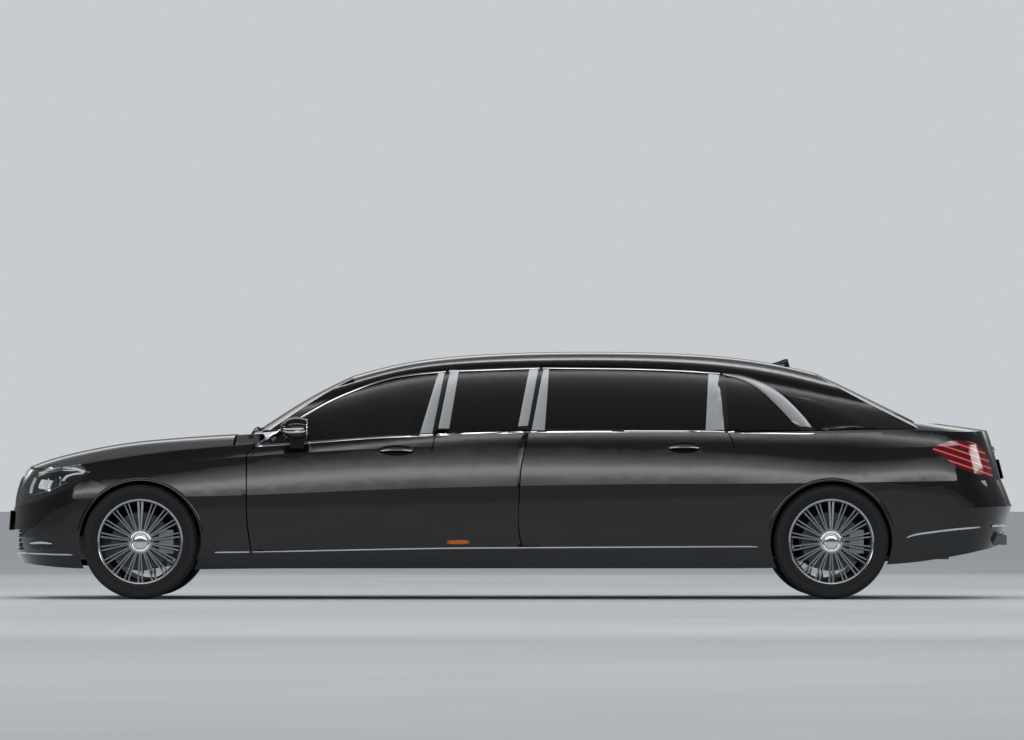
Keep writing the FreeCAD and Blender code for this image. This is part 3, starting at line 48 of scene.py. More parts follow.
# Small tools: meshes, sweeps and projections onto the skin
def addObject(name, data):
    holder = bpy.data.objects.new(name, data)
    bpy.context.scene.collection.objects.link(holder)
    return holder


def newPiece(name, verts, faces, finish, sharp=35.0):
    mesh = bpy.data.meshes.new(name)
    mesh.from_pydata([tuple(v) for v in verts], [], [tuple(f) for f in faces])
    work = bmesh.new()
    work.from_mesh(mesh)
    bmesh.ops.remove_doubles(work, verts=work.verts, dist=1e-6)
    bmesh.ops.dissolve_degenerate(work, edges=work.edges, dist=1e-6)
    bmesh.ops.recalc_face_normals(work, faces=work.faces)
    work.to_mesh(mesh)
    work.free()
    mesh.materials.append(finish)
    mesh.polygons.foreach_set("use_smooth", [True] * len(mesh.polygons))
    mesh.set_sharp_from_angle(angle=math.radians(sharp))
    return addObject(name, mesh)


def pieceFromWork(name, work, finish, sharp=35.0):
    # Ends the work on a bmesh and makes a piece of it
    work.verts.index_update()
    verts = [v.co.copy() for v in work.verts]
    faces = [[v.index for v in f.verts] for f in work.faces]
    work.free()
    return newPiece(name, verts, faces, finish, sharp)


def settle(piece, body):
    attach(piece, body)
    return piece


def loft(loops, capped=True, joined=False):
    count = len(loops[0])
    verts = [v for loop in loops for v in loop]
    faces = []
    last = len(loops) if joined else len(loops) - 1
    for i in range(last):
        a, b = i * count, ((i + 1) % len(loops)) * count
        for j in range(count):
            k = (j + 1) % count
            faces.append((a + j, a + k, b + k, b + j))
    if capped and not joined:
        faces.append(tuple(reversed(range(count))))
        faces.append(tuple(range((len(loops) - 1) * count, len(loops) * count)))
    return verts, faces


def smoothPath(points, step):
    # Even steps along a curve that passes through the points
    points = [Vector(p) for p in points]
    ends = [points[0] * 2 - points[1]] + points + [points[-1] * 2 - points[-2]]
    path = []
    for i in range(1, len(ends) - 2):
        p0, p1, p2, p3 = ends[i - 1:i + 3]
        count = max(1, round((p2 - p1).length / step))
        for j in range(count):
            t = j / count
            path.append(0.5 * (2 * p1 + (p2 - p0) * t + (2 * p0 - 5 * p1 + 4 * p2 - p3) * t * t
                               + (3 * p1 - p0 - 3 * p2 + p3) * t ** 3))
    return path + [points[-1]]


def straightPath(points, step):
    points = [Vector(p) for p in points]
    path = []
    for a, b in zip(points, points[1:]):
        count = max(1, round((b - a).length / step))
        path += [a.lerp(b, j / count) for j in range(count)]
    return path + [points[-1]]


def along(path, share):
    place = share * (len(path) - 1)
    i = min(int(place), len(path) - 2)
    return path[i].lerp(path[i + 1], place - i)


def pick(path, count):
    # So many points at even shares of a path
    return [along(path, j / (count - 1)) for j in range(count)]


def frameAt(origin, xAxis, zAxis):
    # Place matrix from an origin and its X and Z axes
    xAxis, zAxis = Vector(xAxis).normalized(), Vector(zAxis).normalized()
    return Matrix.Translation(origin) @ Matrix((xAxis, zAxis.cross(xAxis), zAxis)).transposed().to_4x4()


def seatOn(spot, normal):
    # Place matrix of a round part that stands on the skin
    return Matrix.Translation(spot) @ normal.to_track_quat("Z", "Y").to_matrix().to_4x4()


def circle(count, radius=1.0):
    turns = [2 * math.pi * i / count for i in range(count)]
    return [(radius * math.cos(a), radius * math.sin(a)) for a in turns]


def treeOf(*names):
    verts, faces = [], []
    for name in names:
        mesh = nodes[name].data
        base = len(verts)
        verts += [v.co.copy() for v in mesh.vertices]
        faces += [[base + i for i in p.vertices] for p in mesh.polygons]
    return BVHTree.FromPolygons(verts, faces)


def sideCast(sign, *names):
    # Turns a side-view place into the point of the skin there
    tree = treeOf(*names)
    last = [sign * 0.90]

    def cast(x, z):
        spot, normal = tree.ray_cast(Vector((x, sign * 2, z)), Vector((0, -sign, 0)))[:2]
        if spot is None:
            near, normal = tree.find_nearest(Vector((x, last[0], z)))[:2]
            spot = Vector((x, near.y, z))
        last[0] = spot.y
        return spot, normal if normal.y * sign > 0 else -normal
    return cast


def rayCast(names, direction):
    # The same for a front, rear or top view
    tree = treeOf(*names)
    direction = Vector(direction)

    def cast(u, v):
        start = Vector((0, u, v)) if direction.x else Vector((u, v, 0))
        start -= direction * 5
        spot, normal = tree.ray_cast(start, direction)[:2]
        if spot is None:
            near, normal = tree.find_nearest(start + direction * (5 if direction.z else 2.2))[:2]
            spot = Vector((near.x, u, v)) if direction.x else Vector((u, v, near.z))
        return spot, normal if normal.dot(direction) < 0 else -normal
    return cast


bandShape = [(0, -0.4), (0, 0.55), (0.08, 0.9), (0.3, 1), (0.7, 1), (0.92, 0.9), (1, 0.55), (1, -0.4)]


def bandLoops(cast, edgeA, edgeB, rise, shape=bandShape):
    loops = []
    for a, b in zip(edgeA, edgeB):
        loop = []
        for share, height in shape:
            u, v = a[0] + (b[0] - a[0]) * share, a[1] + (b[1] - a[1]) * share
            spot, normal = cast(u, v)
            loop.append(spot + normal * rise * height)
        loops.append(loop)
    return loops


def band(name, cast, edgeA, edgeB, rise, finish, shape=bandShape):
    # A raised trim that follows the skin between two edges
    return newPiece(name, *loft(bandLoops(cast, edgeA, edgeB, rise, shape)), finish)


def pathEdges(path, widths):
    # The two edges of a strip along a flat path
    edgeA, edgeB = [], []
    for i, p in enumerate(path):
        run = path[min(i + 1, len(path) - 1)] - path[max(i - 1, 0)]
        across = Vector((-run.y, run.x)).normalized()
        half = widths(i / (len(path) - 1)) / 2
        edgeA.append(p - across * half)
        edgeB.append(p + across * half)
    return edgeA, edgeB


def strip(name, cast, points, width, rise, finish, step=0.03, taper=0.0):
    path = smoothPath(points, step)
    ends = lambda t: width * (1 - taper * max(0, 1 - min(t, 1 - t) / 0.12) ** 2)
    return band(name, cast, *pathEdges(path, ends), rise, finish)


def rod(name, points, radius, finish, sides=10, step=None, flat=1.0):
    path = smoothPath(points, step) if step else [Vector(p) for p in points]
    loops, side = [], None
    for i, p in enumerate(path):
        run = (path[min(i + 1, len(path) - 1)] - path[max(i - 1, 0)]).normalized()
        if side is None:
            side = run.orthogonal().normalized()
        side = (side - run * side.dot(run)).normalized()
        up = run.cross(side)
        size = radius(i / (len(path) - 1)) if callable(radius) else radius
        loops.append([p + (side * c + up * s * flat) * size for c, s in circle(sides)])
    return newPiece(name, *loft(loops), finish)


def lathe(name, profile, place, finish, steps=96, sharp=35.0):
    # Turns (radius, along) points round a local Z axis and puts them at the place matrix
    loops = [[place @ Vector((r * c, r * s, z)) for r, z in profile] for c, s in circle(steps)]
    return newPiece(name, *loft(loops, joined=True), finish, sharp)


def block(name, low, high, radius, finish, place=None, segments=3, taper=None):
    # A box with rolled edges, from corner to corner
    work = bmesh.new()
    bmesh.ops.create_cube(work, size=1)
    low, high = Vector(low), Vector(high)
    for v in work.verts:
        v.co = Vector([(low[i] + high[i]) / 2 + v.co[i] * (high[i] - low[i]) for i in range(3)])
        if taper:
            v.co = taper(v.co)
    bmesh.ops.bevel(work, geom=work.edges[:], offset=radius, segments=segments, profile=0.5, affect="EDGES")
    if place:
        work.transform(place)
    return pieceFromWork(name, work, finish)


def merge(name, pieces):
    # Joins finished meshes of one body into one piece
    work = bmesh.new()
    finishes = []
    for piece in pieces:
        mesh = piece.data
        for slotFinish in mesh.materials:
            if slotFinish not in finishes:
                finishes.append(slotFinish)
        remap = [finishes.index(m) for m in mesh.materials]
        before = len(work.faces)
        work.from_mesh(mesh)
        work.faces.ensure_lookup_table()
        for face in work.faces[before:]:
            face.material_index = remap[face.material_index]
    mesh = bpy.data.meshes.new(name)
    work.to_mesh(mesh)
    work.free()
    for piece in pieces:
        bpy.data.objects.remove(piece)
    for finish in finishes:
        mesh.materials.append(finish)
    return addObject(name, mesh)


def mirrorPiece(piece, name):
    # The right-hand twin of a left-hand piece
    work = bmesh.new()
    work.from_mesh(piece.data)
    for v in work.verts:
        v.co.y = -v.co.y
    bmesh.ops.reverse_faces(work, faces=work.faces)
    mesh = bpy.data.meshes.new(name)
    work.to_mesh(mesh)
    work.free()
    for finish in piece.data.materials:
        mesh.materials.append(finish)
    return addObject(name, mesh)


def bothSides(piece, name, body):
    # Names the left piece, makes its right twin and puts each on its body
    twin = mirrorPiece(piece, name + "_right")
    piece.name = name + "_left"
    settle(piece, body if body == "body" else body + "left")
    settle(twin, body if body == "body" else body + "right")


# Materials: one function turns hex colours to linear, one adds a node
def tone(code):
    parts = [int(code[i:i + 2], 16) / 255 for i in (1, 3, 5)]
    return [c / 12.92 if c <= 0.04045 else ((c + 0.055) / 1.055) ** 2.4 for c in parts] + [1]


def addNode(tree, kind, settings=None, links=None, target=None):
    # Adds a node, sets and links its inputs, and joins its first output to the target socket
    node = tree.nodes.new(kind)
    for key, value in (settings or {}).items():
        if key == "stops":
            first, last = node.color_ramp.elements
            first.position, last.position = value[0][0], value[-1][0]
            first.color, last.color = tone(value[0][1]), tone(value[-1][1])
            for position, code in value[1:-1]:
                node.color_ramp.elements.new(position).color = tone(code)
        elif isinstance(key, str) and hasattr(node, key):
            setattr(node, key, value)
        else:
            node.inputs[key].default_value = value
    for key, source in (links or {}).items():
        tree.links.new(source, node.inputs[key])
    if target:
        tree.links.new(node.outputs[0], target)
    return node


def startFinish(name, settings):
    finish = bpy.data.materials.new(name)
    finish.use_nodes = True
    tree = finish.node_tree
    shader = tree.nodes["Principled BSDF"]
    for key, value in settings.items():
        shader.inputs[key].default_value = tone(value) if isinstance(value, str) else value
    place = addNode(tree, "ShaderNodeTexCoord").outputs["Object"]
    return finish, tree, shader.inputs, place


def twoTones(dark, light):
    # Ramp settings that turn a grain from one tone to the other
    return {"stops": [(0.35, dark), (0.65, light)]}


def grainedFinish(name, settings, grain, dull, depth=0.0, strength=0.0, colours=None, stretch=None,
                  detail=4.0):
    # One grain drives the roughness and, where they are given, relief and colour. It is in millimetres, and
    # drawn coarser than life where the real one, such as a polish or a pile, would be too fine to show
    finish, tree, sockets, place = startFinish(name, settings)
    if stretch:
        place = addNode(tree, "ShaderNodeMapping", {"Scale": stretch}, {"Vector": place}).outputs[0]
    noise = addNode(tree, "ShaderNodeTexNoise", {"Scale": 1000 / grain, "Detail": detail}, {"Vector": place})
    field = noise.outputs["Fac"]
    if colours:
        addNode(tree, "ShaderNodeValToRGB", twoTones(*colours), {"Fac": field}, sockets["Base Color"])
    addNode(tree, "ShaderNodeMapRange", {"To Min": dull[0], "To Max": dull[1]}, {"Value": field},
            sockets["Roughness"])
    if depth:
        addNode(tree, "ShaderNodeBump", {"Distance": depth, "Strength": strength}, {"Height": field},
                sockets["Normal"])
    return finish


def paintedSteel():
    # Black enamel under clear lacquer, sprayed: deep, mirror-like, with a very faint orange peel 9 mm across
    finish, tree, sockets, place = startFinish("blackEnamelLacquer", {
        "Roughness": 0.4, "Specular IOR Level": 0.1, "Coat Weight": 1.0, "Coat Roughness": 0.012,
        "Coat IOR": 1.5})
    peel = addNode(tree, "ShaderNodeTexNoise", {"Scale": 1000 / 9, "Detail": 1}, {"Vector": place})
    addNode(tree, "ShaderNodeBump", {"Distance": 0.00004, "Strength": 0.25}, {"Height": peel.outputs["Fac"]},
            sockets["Normal"])
    cloud = addNode(tree, "ShaderNodeTexNoise", {"Scale": 1000 / 400, "Detail": 1}, {"Vector": place})
    addNode(tree, "ShaderNodeValToRGB", twoTones("#040405", "#08080a"), {"Fac": cloud.outputs["Fac"]},
            sockets["Base Color"])
    return finish


def metalFinish(name, colour, dull, grain, stretch=None, depth=0.00003, metallic=1.0):
    return grainedFinish(name, {"Base Color": colour, "Metallic": metallic}, grain, dull, depth, 0.3, None,
                         stretch)


def plasticFinish(name, colours, dull, grain, depth, stretch=None):
    return grainedFinish(name, {"IOR": 1.46}, grain, dull, depth, 0.6, colours, stretch)


def glassFinish(name, colour, grain=700):
    # Clear all through, with the faintest unevenness
    settings = {"Base Color": colour, "Transmission Weight": 1.0, "IOR": 1.5, "Roughness": 0.0}
    return grainedFinish(name, settings, grain, (0.0, 0.01), detail=1)


def leatherFinish(name, colours):
    # Full-grain dyed hide: soft sheen, pebbles about 2 mm across, creases darker than their tops
    finish, tree, sockets, place = startFinish(name, {"IOR": 1.45, "Sheen Weight": 0.15})
    pebbles = addNode(tree, "ShaderNodeTexVoronoi", {"Scale": 1000 / 2.2, "feature": "SMOOTH_F1"},
                      {"Vector": place}).outputs["Distance"]
    cloud = addNode(tree, "ShaderNodeTexNoise", {"Scale": 1000 / 60, "Detail": 5}, {"Vector": place})
    addNode(tree, "ShaderNodeValToRGB", twoTones(*colours), {"Fac": cloud.outputs["Fac"]},
            sockets["Base Color"])
    addNode(tree, "ShaderNodeMapRange", {"To Min": 0.42, "To Max": 0.58}, {"Value": pebbles},
            sockets["Roughness"])
    addNode(tree, "ShaderNodeBump", {"Distance": 0.0003, "Strength": 0.5}, {"Height": pebbles},
            sockets["Normal"])
    return finish


def tailFinish():
    # Moulded red acrylic over light guides, which show as curved paler bands
    finish, tree, sockets, place = startFinish("redAcrylicLens", {
        "IOR": 1.49, "Roughness": 0.06, "Coat Weight": 1.0, "Coat Roughness": 0.01,
        "Specular IOR Level": 0.6})
    split = addNode(tree, "ShaderNodeSeparateXYZ", links={"Vector": place})
    slope = addNode(tree, "ShaderNodeMath", {"operation": "MULTIPLY", 1: 0.33}, {0: split.outputs["X"]})
    height = addNode(tree, "ShaderNodeMath", {"operation": "ADD"},
                     {0: split.outputs["Z"], 1: slope.outputs[0]})
    wave = addNode(tree, "ShaderNodeMath", {"operation": "MULTIPLY", 1: 150.0}, {0: height.outputs[0]})
    crest = addNode(tree, "ShaderNodeMath", {"operation": "SINE"}, {0: wave.outputs[0]})
    addNode(tree, "ShaderNodeValToRGB", {"stops": [(0.0, "#5c0408"), (0.9, "#c2222a"), (0.97, "#ff8a86")]},
            {"Fac": crest.outputs[0]}, sockets["Base Color"])
    fine = addNode(tree, "ShaderNodeTexVoronoi", {"Scale": 1000 / 4}, {"Vector": place})
    addNode(tree, "ShaderNodeBump", {"Distance": 0.0004, "Strength": 0.3},
            {"Height": fine.outputs["Distance"]}, sockets["Normal"])
    return finish


paint = paintedSteel()
chrome = metalFinish("brightChromePlate", "#d3d6d9", (0.04, 0.1), 180)  # plated, polished: clear mirror
brushed = metalFinish("brushedAluminium", "#a4a7aa", (0.26, 0.38), 0.9, (1, 1, 0.02), 0.00012)  # long lines
wheelMetal = metalFinish("diamondTurnedAlloy", "#9ea2a8", (0.14, 0.26), 120)  # silver with a turned sheen
spokeMetal = metalFinish("alloyPaintedReflection", "#e2e5e8", (0.12, 0.2), 60, metallic=0.45)  # painted reflection: a half-matt near-white stands in for the bright mirrored light on polished spokes
discMetal = metalFinish("groundCastIron", "#4a4c4e", (0.32, 0.5), 3)  # brake face, fine rings
castMetal = metalFinish("castAluminium", "#86888b", (0.45, 0.6), 6, depth=0.0003)  # sandy and dull
pipeMetal = metalFinish("stainlessPipe", "#5f6061", (0.25, 0.42), 40)  # rolled, a little dull
mirrorGlass = metalFinish("mirrorGlass", "#e6e8ea", (0.0, 0.01), 200)  # silvered glass
tintedGlass = glassFinish("privacyGlass", "#2f3436")  # dark green-grey laminate
frontGlass = glassFinish("laminatedGlass", "#525a58")  # light green-grey laminate
clearLens = glassFinish("polycarbonateLens", "#eef2f4", 60)  # hard-coated clear moulding
amberLens = plasticFinish("amberAcrylic", ("#a84c06", "#d9741a"), (0.05, 0.1), 9, 0.0001)  # moulded reflector
tailRed = tailFinish()
rubber = plasticFinish("tyreRubber", ("#0c0c0d", "#161617"), (0.62, 0.8), 12, 0.0002)  # cured, matt
glossBlack = plasticFinish("glossBlackPlastic", ("#060607", "#08080a"), (0.05, 0.1), 200, 0.00002)  # polished
satinBlack = plasticFinish("grainedBlackPlastic", ("#0e0f10", "#18191a"), (0.4, 0.55), 1.6, 0.0002)  # matt
underCoat = plasticFinish("stoneGuardCoat", ("#0c0d0e", "#131415"), (0.6, 0.8), 5, 0.0006)  # sprayed, lumpy
plate = plasticFinish("barePlateAluminium", ("#d9dadb", "#e2e3e4"), (0.3, 0.4), 90, 0.00005)  # white film
leather = leatherFinish("brownNappaLeather", ("#33211a", "#4a3226"))
leatherDark = leatherFinish("darkNappaLeather", ("#15110f", "#221b17"))
# Veneer under clear lacquer: brown streaks along the car with sharp reflections over them
wood = plasticFinish("walnutVeneer", ("#1e100a", "#4a2a17"), (0.08, 0.16), 9, 0.00003, (0.12, 1, 1))
carpet = plasticFinish("velourCarpet", ("#17120f", "#2a211b"), (0.85, 0.95), 2.5, 0.0015)  # short dense pile
lining = plasticFinish("wovenHeadlining", ("#8a8076", "#9b9187"), (0.85, 0.95), 1.8, 0.0004)  # soft weave
# Screens that are switched off: an even near black under clear glass
screenGlass = plasticFinish("screenGlass", ("#040507", "#07080b"), (0.04, 0.08), 300, 0.00001)
ledStrip = grainedFinish("lightGuide", {  # frosted guide that glows faintly
    "Base Color": "#f2f5f8", "Roughness": 0.25, "Emission Color": "#ffffff", "Emission Strength": 0.25},
    8, (0.2, 0.35), detail=3.0)

cadFinishes = {
    "body_side": paint, "fender": paint, "bonnet": paint, "boot_lid": paint, "roof_panel": paint,
    "front_bumper": paint, "rear_bumper": paint, "door_": paint, "mirror": paint, "grille": chrome,
    "glass_front": frontGlass, "windscreen": frontGlass, "glass_rear": tintedGlass,
    "fixed_side_glass": tintedGlass, "rear_window": tintedGlass, "headlamps": clearLens,
    "tail_lamps": tailRed, "floor": underCoat, "dashboard": leatherDark, "steering_wheel": leatherDark,
    "partition": leatherDark, "seats": leather, "engine": castMetal, "front_subframe": castMetal,
    "rear_subframe": castMetal, "knuckle": castMetal, "exhaust": pipeMetal, "wheel_": wheelMetal,
    "tyre_": rubber}
for nodeName, node in nodes.items():
    key = max((k for k in cadFinishes if nodeName.startswith(k)), key=len)
    for i in range(max(1, len(node.data.materials))):
        if i < len(node.data.materials):
            node.material_slots[i].material = cadFinishes[key]
        else:
            node.data.materials.append(cadFinishes[key])
print("stage: materials")


# Geometry Nodes: one tree repeats a small mesh round a ring, one at each vertex of a host
def nodeLayout(name, sockets):
    layout = bpy.data.node_groups.new(name, "GeometryNodeTree")
    layout.interface.new_socket(name="Geometry", in_out="INPUT", socket_type="NodeSocketGeometry")
    for label, kind in sockets:
        layout.interface.new_socket(name=label, in_out="INPUT", socket_type=kind)
    layout.interface.new_socket(name="Geometry", in_out="OUTPUT", socket_type="NodeSocketGeometry")
    return layout, addNode(layout, "NodeGroupInput"), addNode(layout, "NodeGroupOutput")


def finishLayout(layout, shape, source, target):
    real = addNode(layout, "GeometryNodeRealizeInstances", links={"Geometry": shape})
    done = addNode(layout, "GeometryNodeSetMaterial", links={"Geometry": real.outputs[0],
                                                            "Material": source.outputs["Finish"]})
    layout.links.new(done.outputs[0], target.inputs[0])
    return layout


def ringLayout():
    layout, source, target = nodeLayout("repeatRoundRing", [
        ("Count", "NodeSocketInt"), ("Radius", "NodeSocketFloat"), ("Unit", "NodeSocketObject"),
        ("Finish", "NodeSocketMaterial")])
    ring = addNode(layout, "GeometryNodeMeshCircle", links={"Vertices": source.outputs["Count"],
                                                            "Radius": source.outputs["Radius"]})
    spot = addNode(layout, "GeometryNodeInputPosition")
    facing = addNode(layout, "FunctionNodeAlignRotationToVector", {"axis": "X", "pivot_axis": "Z"},
                     {"Vector": spot.outputs[0]})
    unit = addNode(layout, "GeometryNodeObjectInfo", links={"Object": source.outputs["Unit"]})
    copies = addNode(layout, "GeometryNodeInstanceOnPoints", links={
        "Points": ring.outputs[0], "Instance": unit.outputs["Geometry"], "Rotation": facing.outputs[0]})
    return finishLayout(layout, copies.outputs[0], source, target)


def hostLayout():
    layout, source, target = nodeLayout("repeatOnHost", [
        ("Size", "NodeSocketFloat"), ("Unit", "NodeSocketObject"), ("Finish", "NodeSocketMaterial")])
    turn = addNode(layout, "GeometryNodeInputNamedAttribute", {"data_type": "FLOAT_VECTOR", "Name": "turn"})
    spin = addNode(layout, "FunctionNodeEulerToRotation", links={0: turn.outputs["Attribute"]})
    unit = addNode(layout, "GeometryNodeObjectInfo", links={"Object": source.outputs["Unit"]})
    copies = addNode(layout, "GeometryNodeInstanceOnPoints", links={
        "Points": source.outputs["Geometry"], "Instance": unit.outputs["Geometry"],
        "Rotation": spin.outputs[0], "Scale": source.outputs["Size"]})
    return finishLayout(layout, copies.outputs[0], source, target)


ringTree, hostTree = ringLayout(), hostLayout()


def growTree(name, host, layout, values, place=None):
    # Runs a tree on the host, keeps the result as a plain mesh and drops the modifier
    modifier = host.modifiers.new("repeat", "NODES")
    modifier.node_group = layout
    labels = {s.name: s.identifier for s in layout.interface.items_tree if s.in_out == "INPUT"}
    for label, value in values.items():
        modifier[labels[label]] = value
    bpy.context.view_layer.update()
    seen = host.evaluated_get(bpy.context.evaluated_depsgraph_get())
    mesh = bpy.data.meshes.new_from_object(seen)
    mesh.name = name
    host.modifiers.remove(modifier)
    bpy.data.objects.remove(host)
    bpy.data.objects.remove(values["Unit"])
    if place:
        mesh.transform(place)
    return addObject(name, mesh)


unturned = (0, 0, 0)


def hostOf(spots):
    # Spots are (place, euler turn) pairs
    mesh = bpy.data.meshes.new("host")
    mesh.from_pydata([tuple(s[0]) for s in spots], [], [])
    turn = mesh.attributes.new("turn", "FLOAT_VECTOR", "POINT")
    turn.data.foreach_set("vector", [c for s in spots for c in s[1]])
    return addObject("host", mesh)


def repeatRing(name, unit, count, radius, finish, place):
    host = hostOf([((0, 0, 0), unturned)])
    values = {"Count": count, "Radius": radius, "Unit": unit, "Finish": finish}
    return growTree(name, host, ringTree, values, place)


def repeatAt(name, unit, spots, finish, size=1.0, place=None):
    return growTree(name, hostOf(spots), hostTree, {"Size": size, "Unit": unit, "Finish": finish}, place)


# Tyres: smooth casing, with tread blocks repeated round it
tyreSizes = {
    "radius": 0.36875, "base": 0.3612, "sectors": 66, "shoulder": 0.107, "crown": 0.0075,
    "skew": 0.012 / 0.033,
    "ribs": [(-0.107, -0.080), (-0.074, -0.047), (-0.041, -0.014), (-0.008, 0.008), (0.014, 0.041),
             (0.047, 0.074), (0.080, 0.107)],
    "casing": [(0.2745, 0.088), (0.2755, 0.104), (0.284, 0.1125), (0.2905, 0.1148), (0.2925, 0.1135),
               (0.302, 0.1185), (0.3035, 0.1202), (0.3055, 0.1192), (0.318, 0.1236), (0.3195, 0.1252),
               (0.322, 0.1246), (0.333, 0.1262), (0.3345, 0.1272), (0.337, 0.1262), (0.346, 0.1240),
               (0.3475, 0.1246), (0.349, 0.1222), (0.3545, 0.1165), (0.3575, 0.1085), (0.3585, 0.1075),
               (0.3612, 0.095), (0.3614, 0.0)],
    "liner": [(0.345, -0.100), (0.330, -0.116), (0.300, -0.112), (0.280, -0.100)]}
frontAxle, rearAxle, track = -2.3735, 2.0445, 0.812
wheelPlaces = {"wheel_front_left": (frontAxle, -track, -1), "wheel_front_right": (frontAxle, track, 1),
               "wheel_rear_left": (rearAxle, -track, -1), "wheel_rear_right": (rearAxle, track, 1)}


def treadUnit():
    # The blocks of one sector: whole in the middle rib, split by a slanted groove in the others
    verts, faces = [], []
    sector = 2 * math.pi / tyreSizes["sectors"]
    for i, (y0, y1) in enumerate(tyreSizes["ribs"]):
        shift = (i % 2) * 0.5 * sector
        skew = (i - 3) * tyreSizes["skew"] * sector
        for half in ((0.03, 0.46), (0.54, 0.97)) if i != 3 else ((0.0, 1.0),):
            a0, a1 = sector * half[0] + shift, sector * half[1] + shift
            base = len(verts)
            for r0, grow in ((tyreSizes["base"] - 0.004, 0.0), (None, 0.001)):
                for y, a in ((y0, a0), (y1, a0 + skew), (y1, a1 + skew), (y0, a1)):
                    drop = tyreSizes["crown"] * (abs(y) / tyreSizes["shoulder"]) ** 4
                    r = r0 if r0 else tyreSizes["radius"] - drop
                    y += (grow if y < (y0 + y1) / 2 else -grow)
                    verts.append((r * math.cos(a) - tyreSizes["base"], r * math.sin(a), y))
            faces += [(base + a, base + b, base + c, base + d) for a, b, c, d in (
                (0, 3, 2, 1), (4, 5, 6, 7), (0, 1, 5, 4), (1, 2, 6, 5), (2, 3, 7, 6), (3, 0, 4, 7))]
    return newPiece("treadUnit", verts, faces, rubber, 30)


def wheelFrame(hub, turn):
    x, y = wheelPlaces[hub][:2]
    return Matrix.Translation((x, y, tyreSizes["radius"])) @ Matrix.Rotation(math.radians(turn), 4, "X")


def makeTyre(hub):
    place = wheelFrame(hub, -90)
    casing, liner = tyreSizes["casing"], tyreSizes["liner"]
    profile = casing + [(r, -w) for r, w in reversed(casing[:-1])]
    profile += [(r, w) for r, w in reversed(liner)] + [(r, -w) for r, w in liner]
    body = lathe("casing", profile, place, rubber, 144, 28)
    tread = repeatRing("tread", treadUnit(), tyreSizes["sectors"], tyreSizes["base"], rubber, place)
    tyre = merge(hub.replace("wheel", "treaded_tyre"), [body, tread])
    settle(tyre, hub)
    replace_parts(tyre, hub.replace("wheel", "tyre"))


wheelTrim = {
    "pairs": 18, "face": 0.0900, "near": 0.0045, "wide": 0.0130, "inner": 0.071, "outer": 0.2560,
    "half": 0.0040, "halfGrow": 0.0038, "rise": 0.0022, "lift": 0.0075, "liftFrom": 0.72,
    "discRadius": 0.195, "discDepth": 0.040, "valveRadius": 0.004,
    "valve": [(0.245, 0.02, -0.06), (0.236, 0.02, -0.022)],
    "lip": [(0.2742, -0.008), (0.2752, 0.0005), (0.2725, 0.0022), (0.268, 0.0008), (0.2635, -0.003),
            (0.2615, -0.010), (0.268, -0.014)],
    "cap": [(0.0003, 0.1088), (0.012, 0.1086), (0.026, 0.1078), (0.038, 0.1062), (0.0455, 0.1038),
            (0.0475, 0.1015), (0.0490, 0.1006), (0.0505, 0.1012), (0.0530, 0.1030), (0.0600, 0.1034),
            (0.0680, 0.1022), (0.0728, 0.0985), (0.0742, 0.0930), (0.0742, 0.0870), (0.0003, 0.0870)]}
barShape = [(-1, 0), (-1, 0.45), (-0.62, 0.9), (0, 1), (0.62, 0.9), (1, 0.45), (1, 0)]


def spokeFacing():
    # Two diverging bright faces over one pair of spokes, rolled at their edges and rising to the lip
    bars = []
    lifted = wheelTrim["liftFrom"]
    for side in (-1, 1):
        loops = []
        for i in range(15):
            t = i / 14
            r = wheelTrim["inner"] + (wheelTrim["outer"] - wheelTrim["inner"]) * t
            mid = side * (wheelTrim["near"] + (wheelTrim["wide"] - wheelTrim["near"]) * t)
            half = wheelTrim["half"] + wheelTrim["halfGrow"] * t
            top = wheelTrim["rise"] + wheelTrim["lift"] * (max(0, t - lifted) / (1 - lifted)) ** 1.5
            loops.append([Vector((r, mid + half * w, top * h - 0.0012 * (h == 0))) for w, h in barShape])
        bars.append(newPiece("bar", *loft(loops), spokeMetal, 60))
    return merge("facing", bars)


def darkenDisc(hub):
    # The brake disc inside the rim gets its own ground iron
    x, y, sign = wheelPlaces[hub]
    mesh = nodes[hub].data
    mesh.materials.append(discMetal)
    for face in mesh.polygons:
        c = face.center
        near = math.hypot(c.x - x, c.z - tyreSizes["radius"]) < wheelTrim["discRadius"]
        if near and (c.y - y) * sign < wheelTrim["discDepth"]:
            face.material_index = len(mesh.materials) - 1


def makeWheelTrim(hub):
    # Plain bright hub cap, spoke facings, a turned lip and a valve
    y, sign = wheelPlaces[hub][1:]
    low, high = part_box(hub)
    out = abs((low.y if sign < 0 else high.y) - y)
    place = wheelFrame(hub, -90 * sign)
    lip = lathe("lip", [(r, out + z) for r, z in wheelTrim["lip"]], place, chrome, 144)
    cap = lathe("cap", wheelTrim["cap"], place, chrome, 72, 50)
    face = place @ Matrix.Rotation(math.radians(90), 4, "Z") @ Matrix.Translation((0, 0, wheelTrim["face"]))
    facings = repeatRing("facings", spokeFacing(), wheelTrim["pairs"], 0.0, spokeMetal, face)
    stem = [place @ Vector((a, b, out + c)) for a, b, c in wheelTrim["valve"]]
    valve = rod("valve", stem, wheelTrim["valveRadius"], satinBlack, 8)
    settle(merge(hub + "_trim", [lip, cap, facings, valve]), hub)
    darkenDisc(hub)


for hub in wheelPlaces:
    makeTyre(hub)
    makeWheelTrim(hub)
print("stage: tyres and wheels")


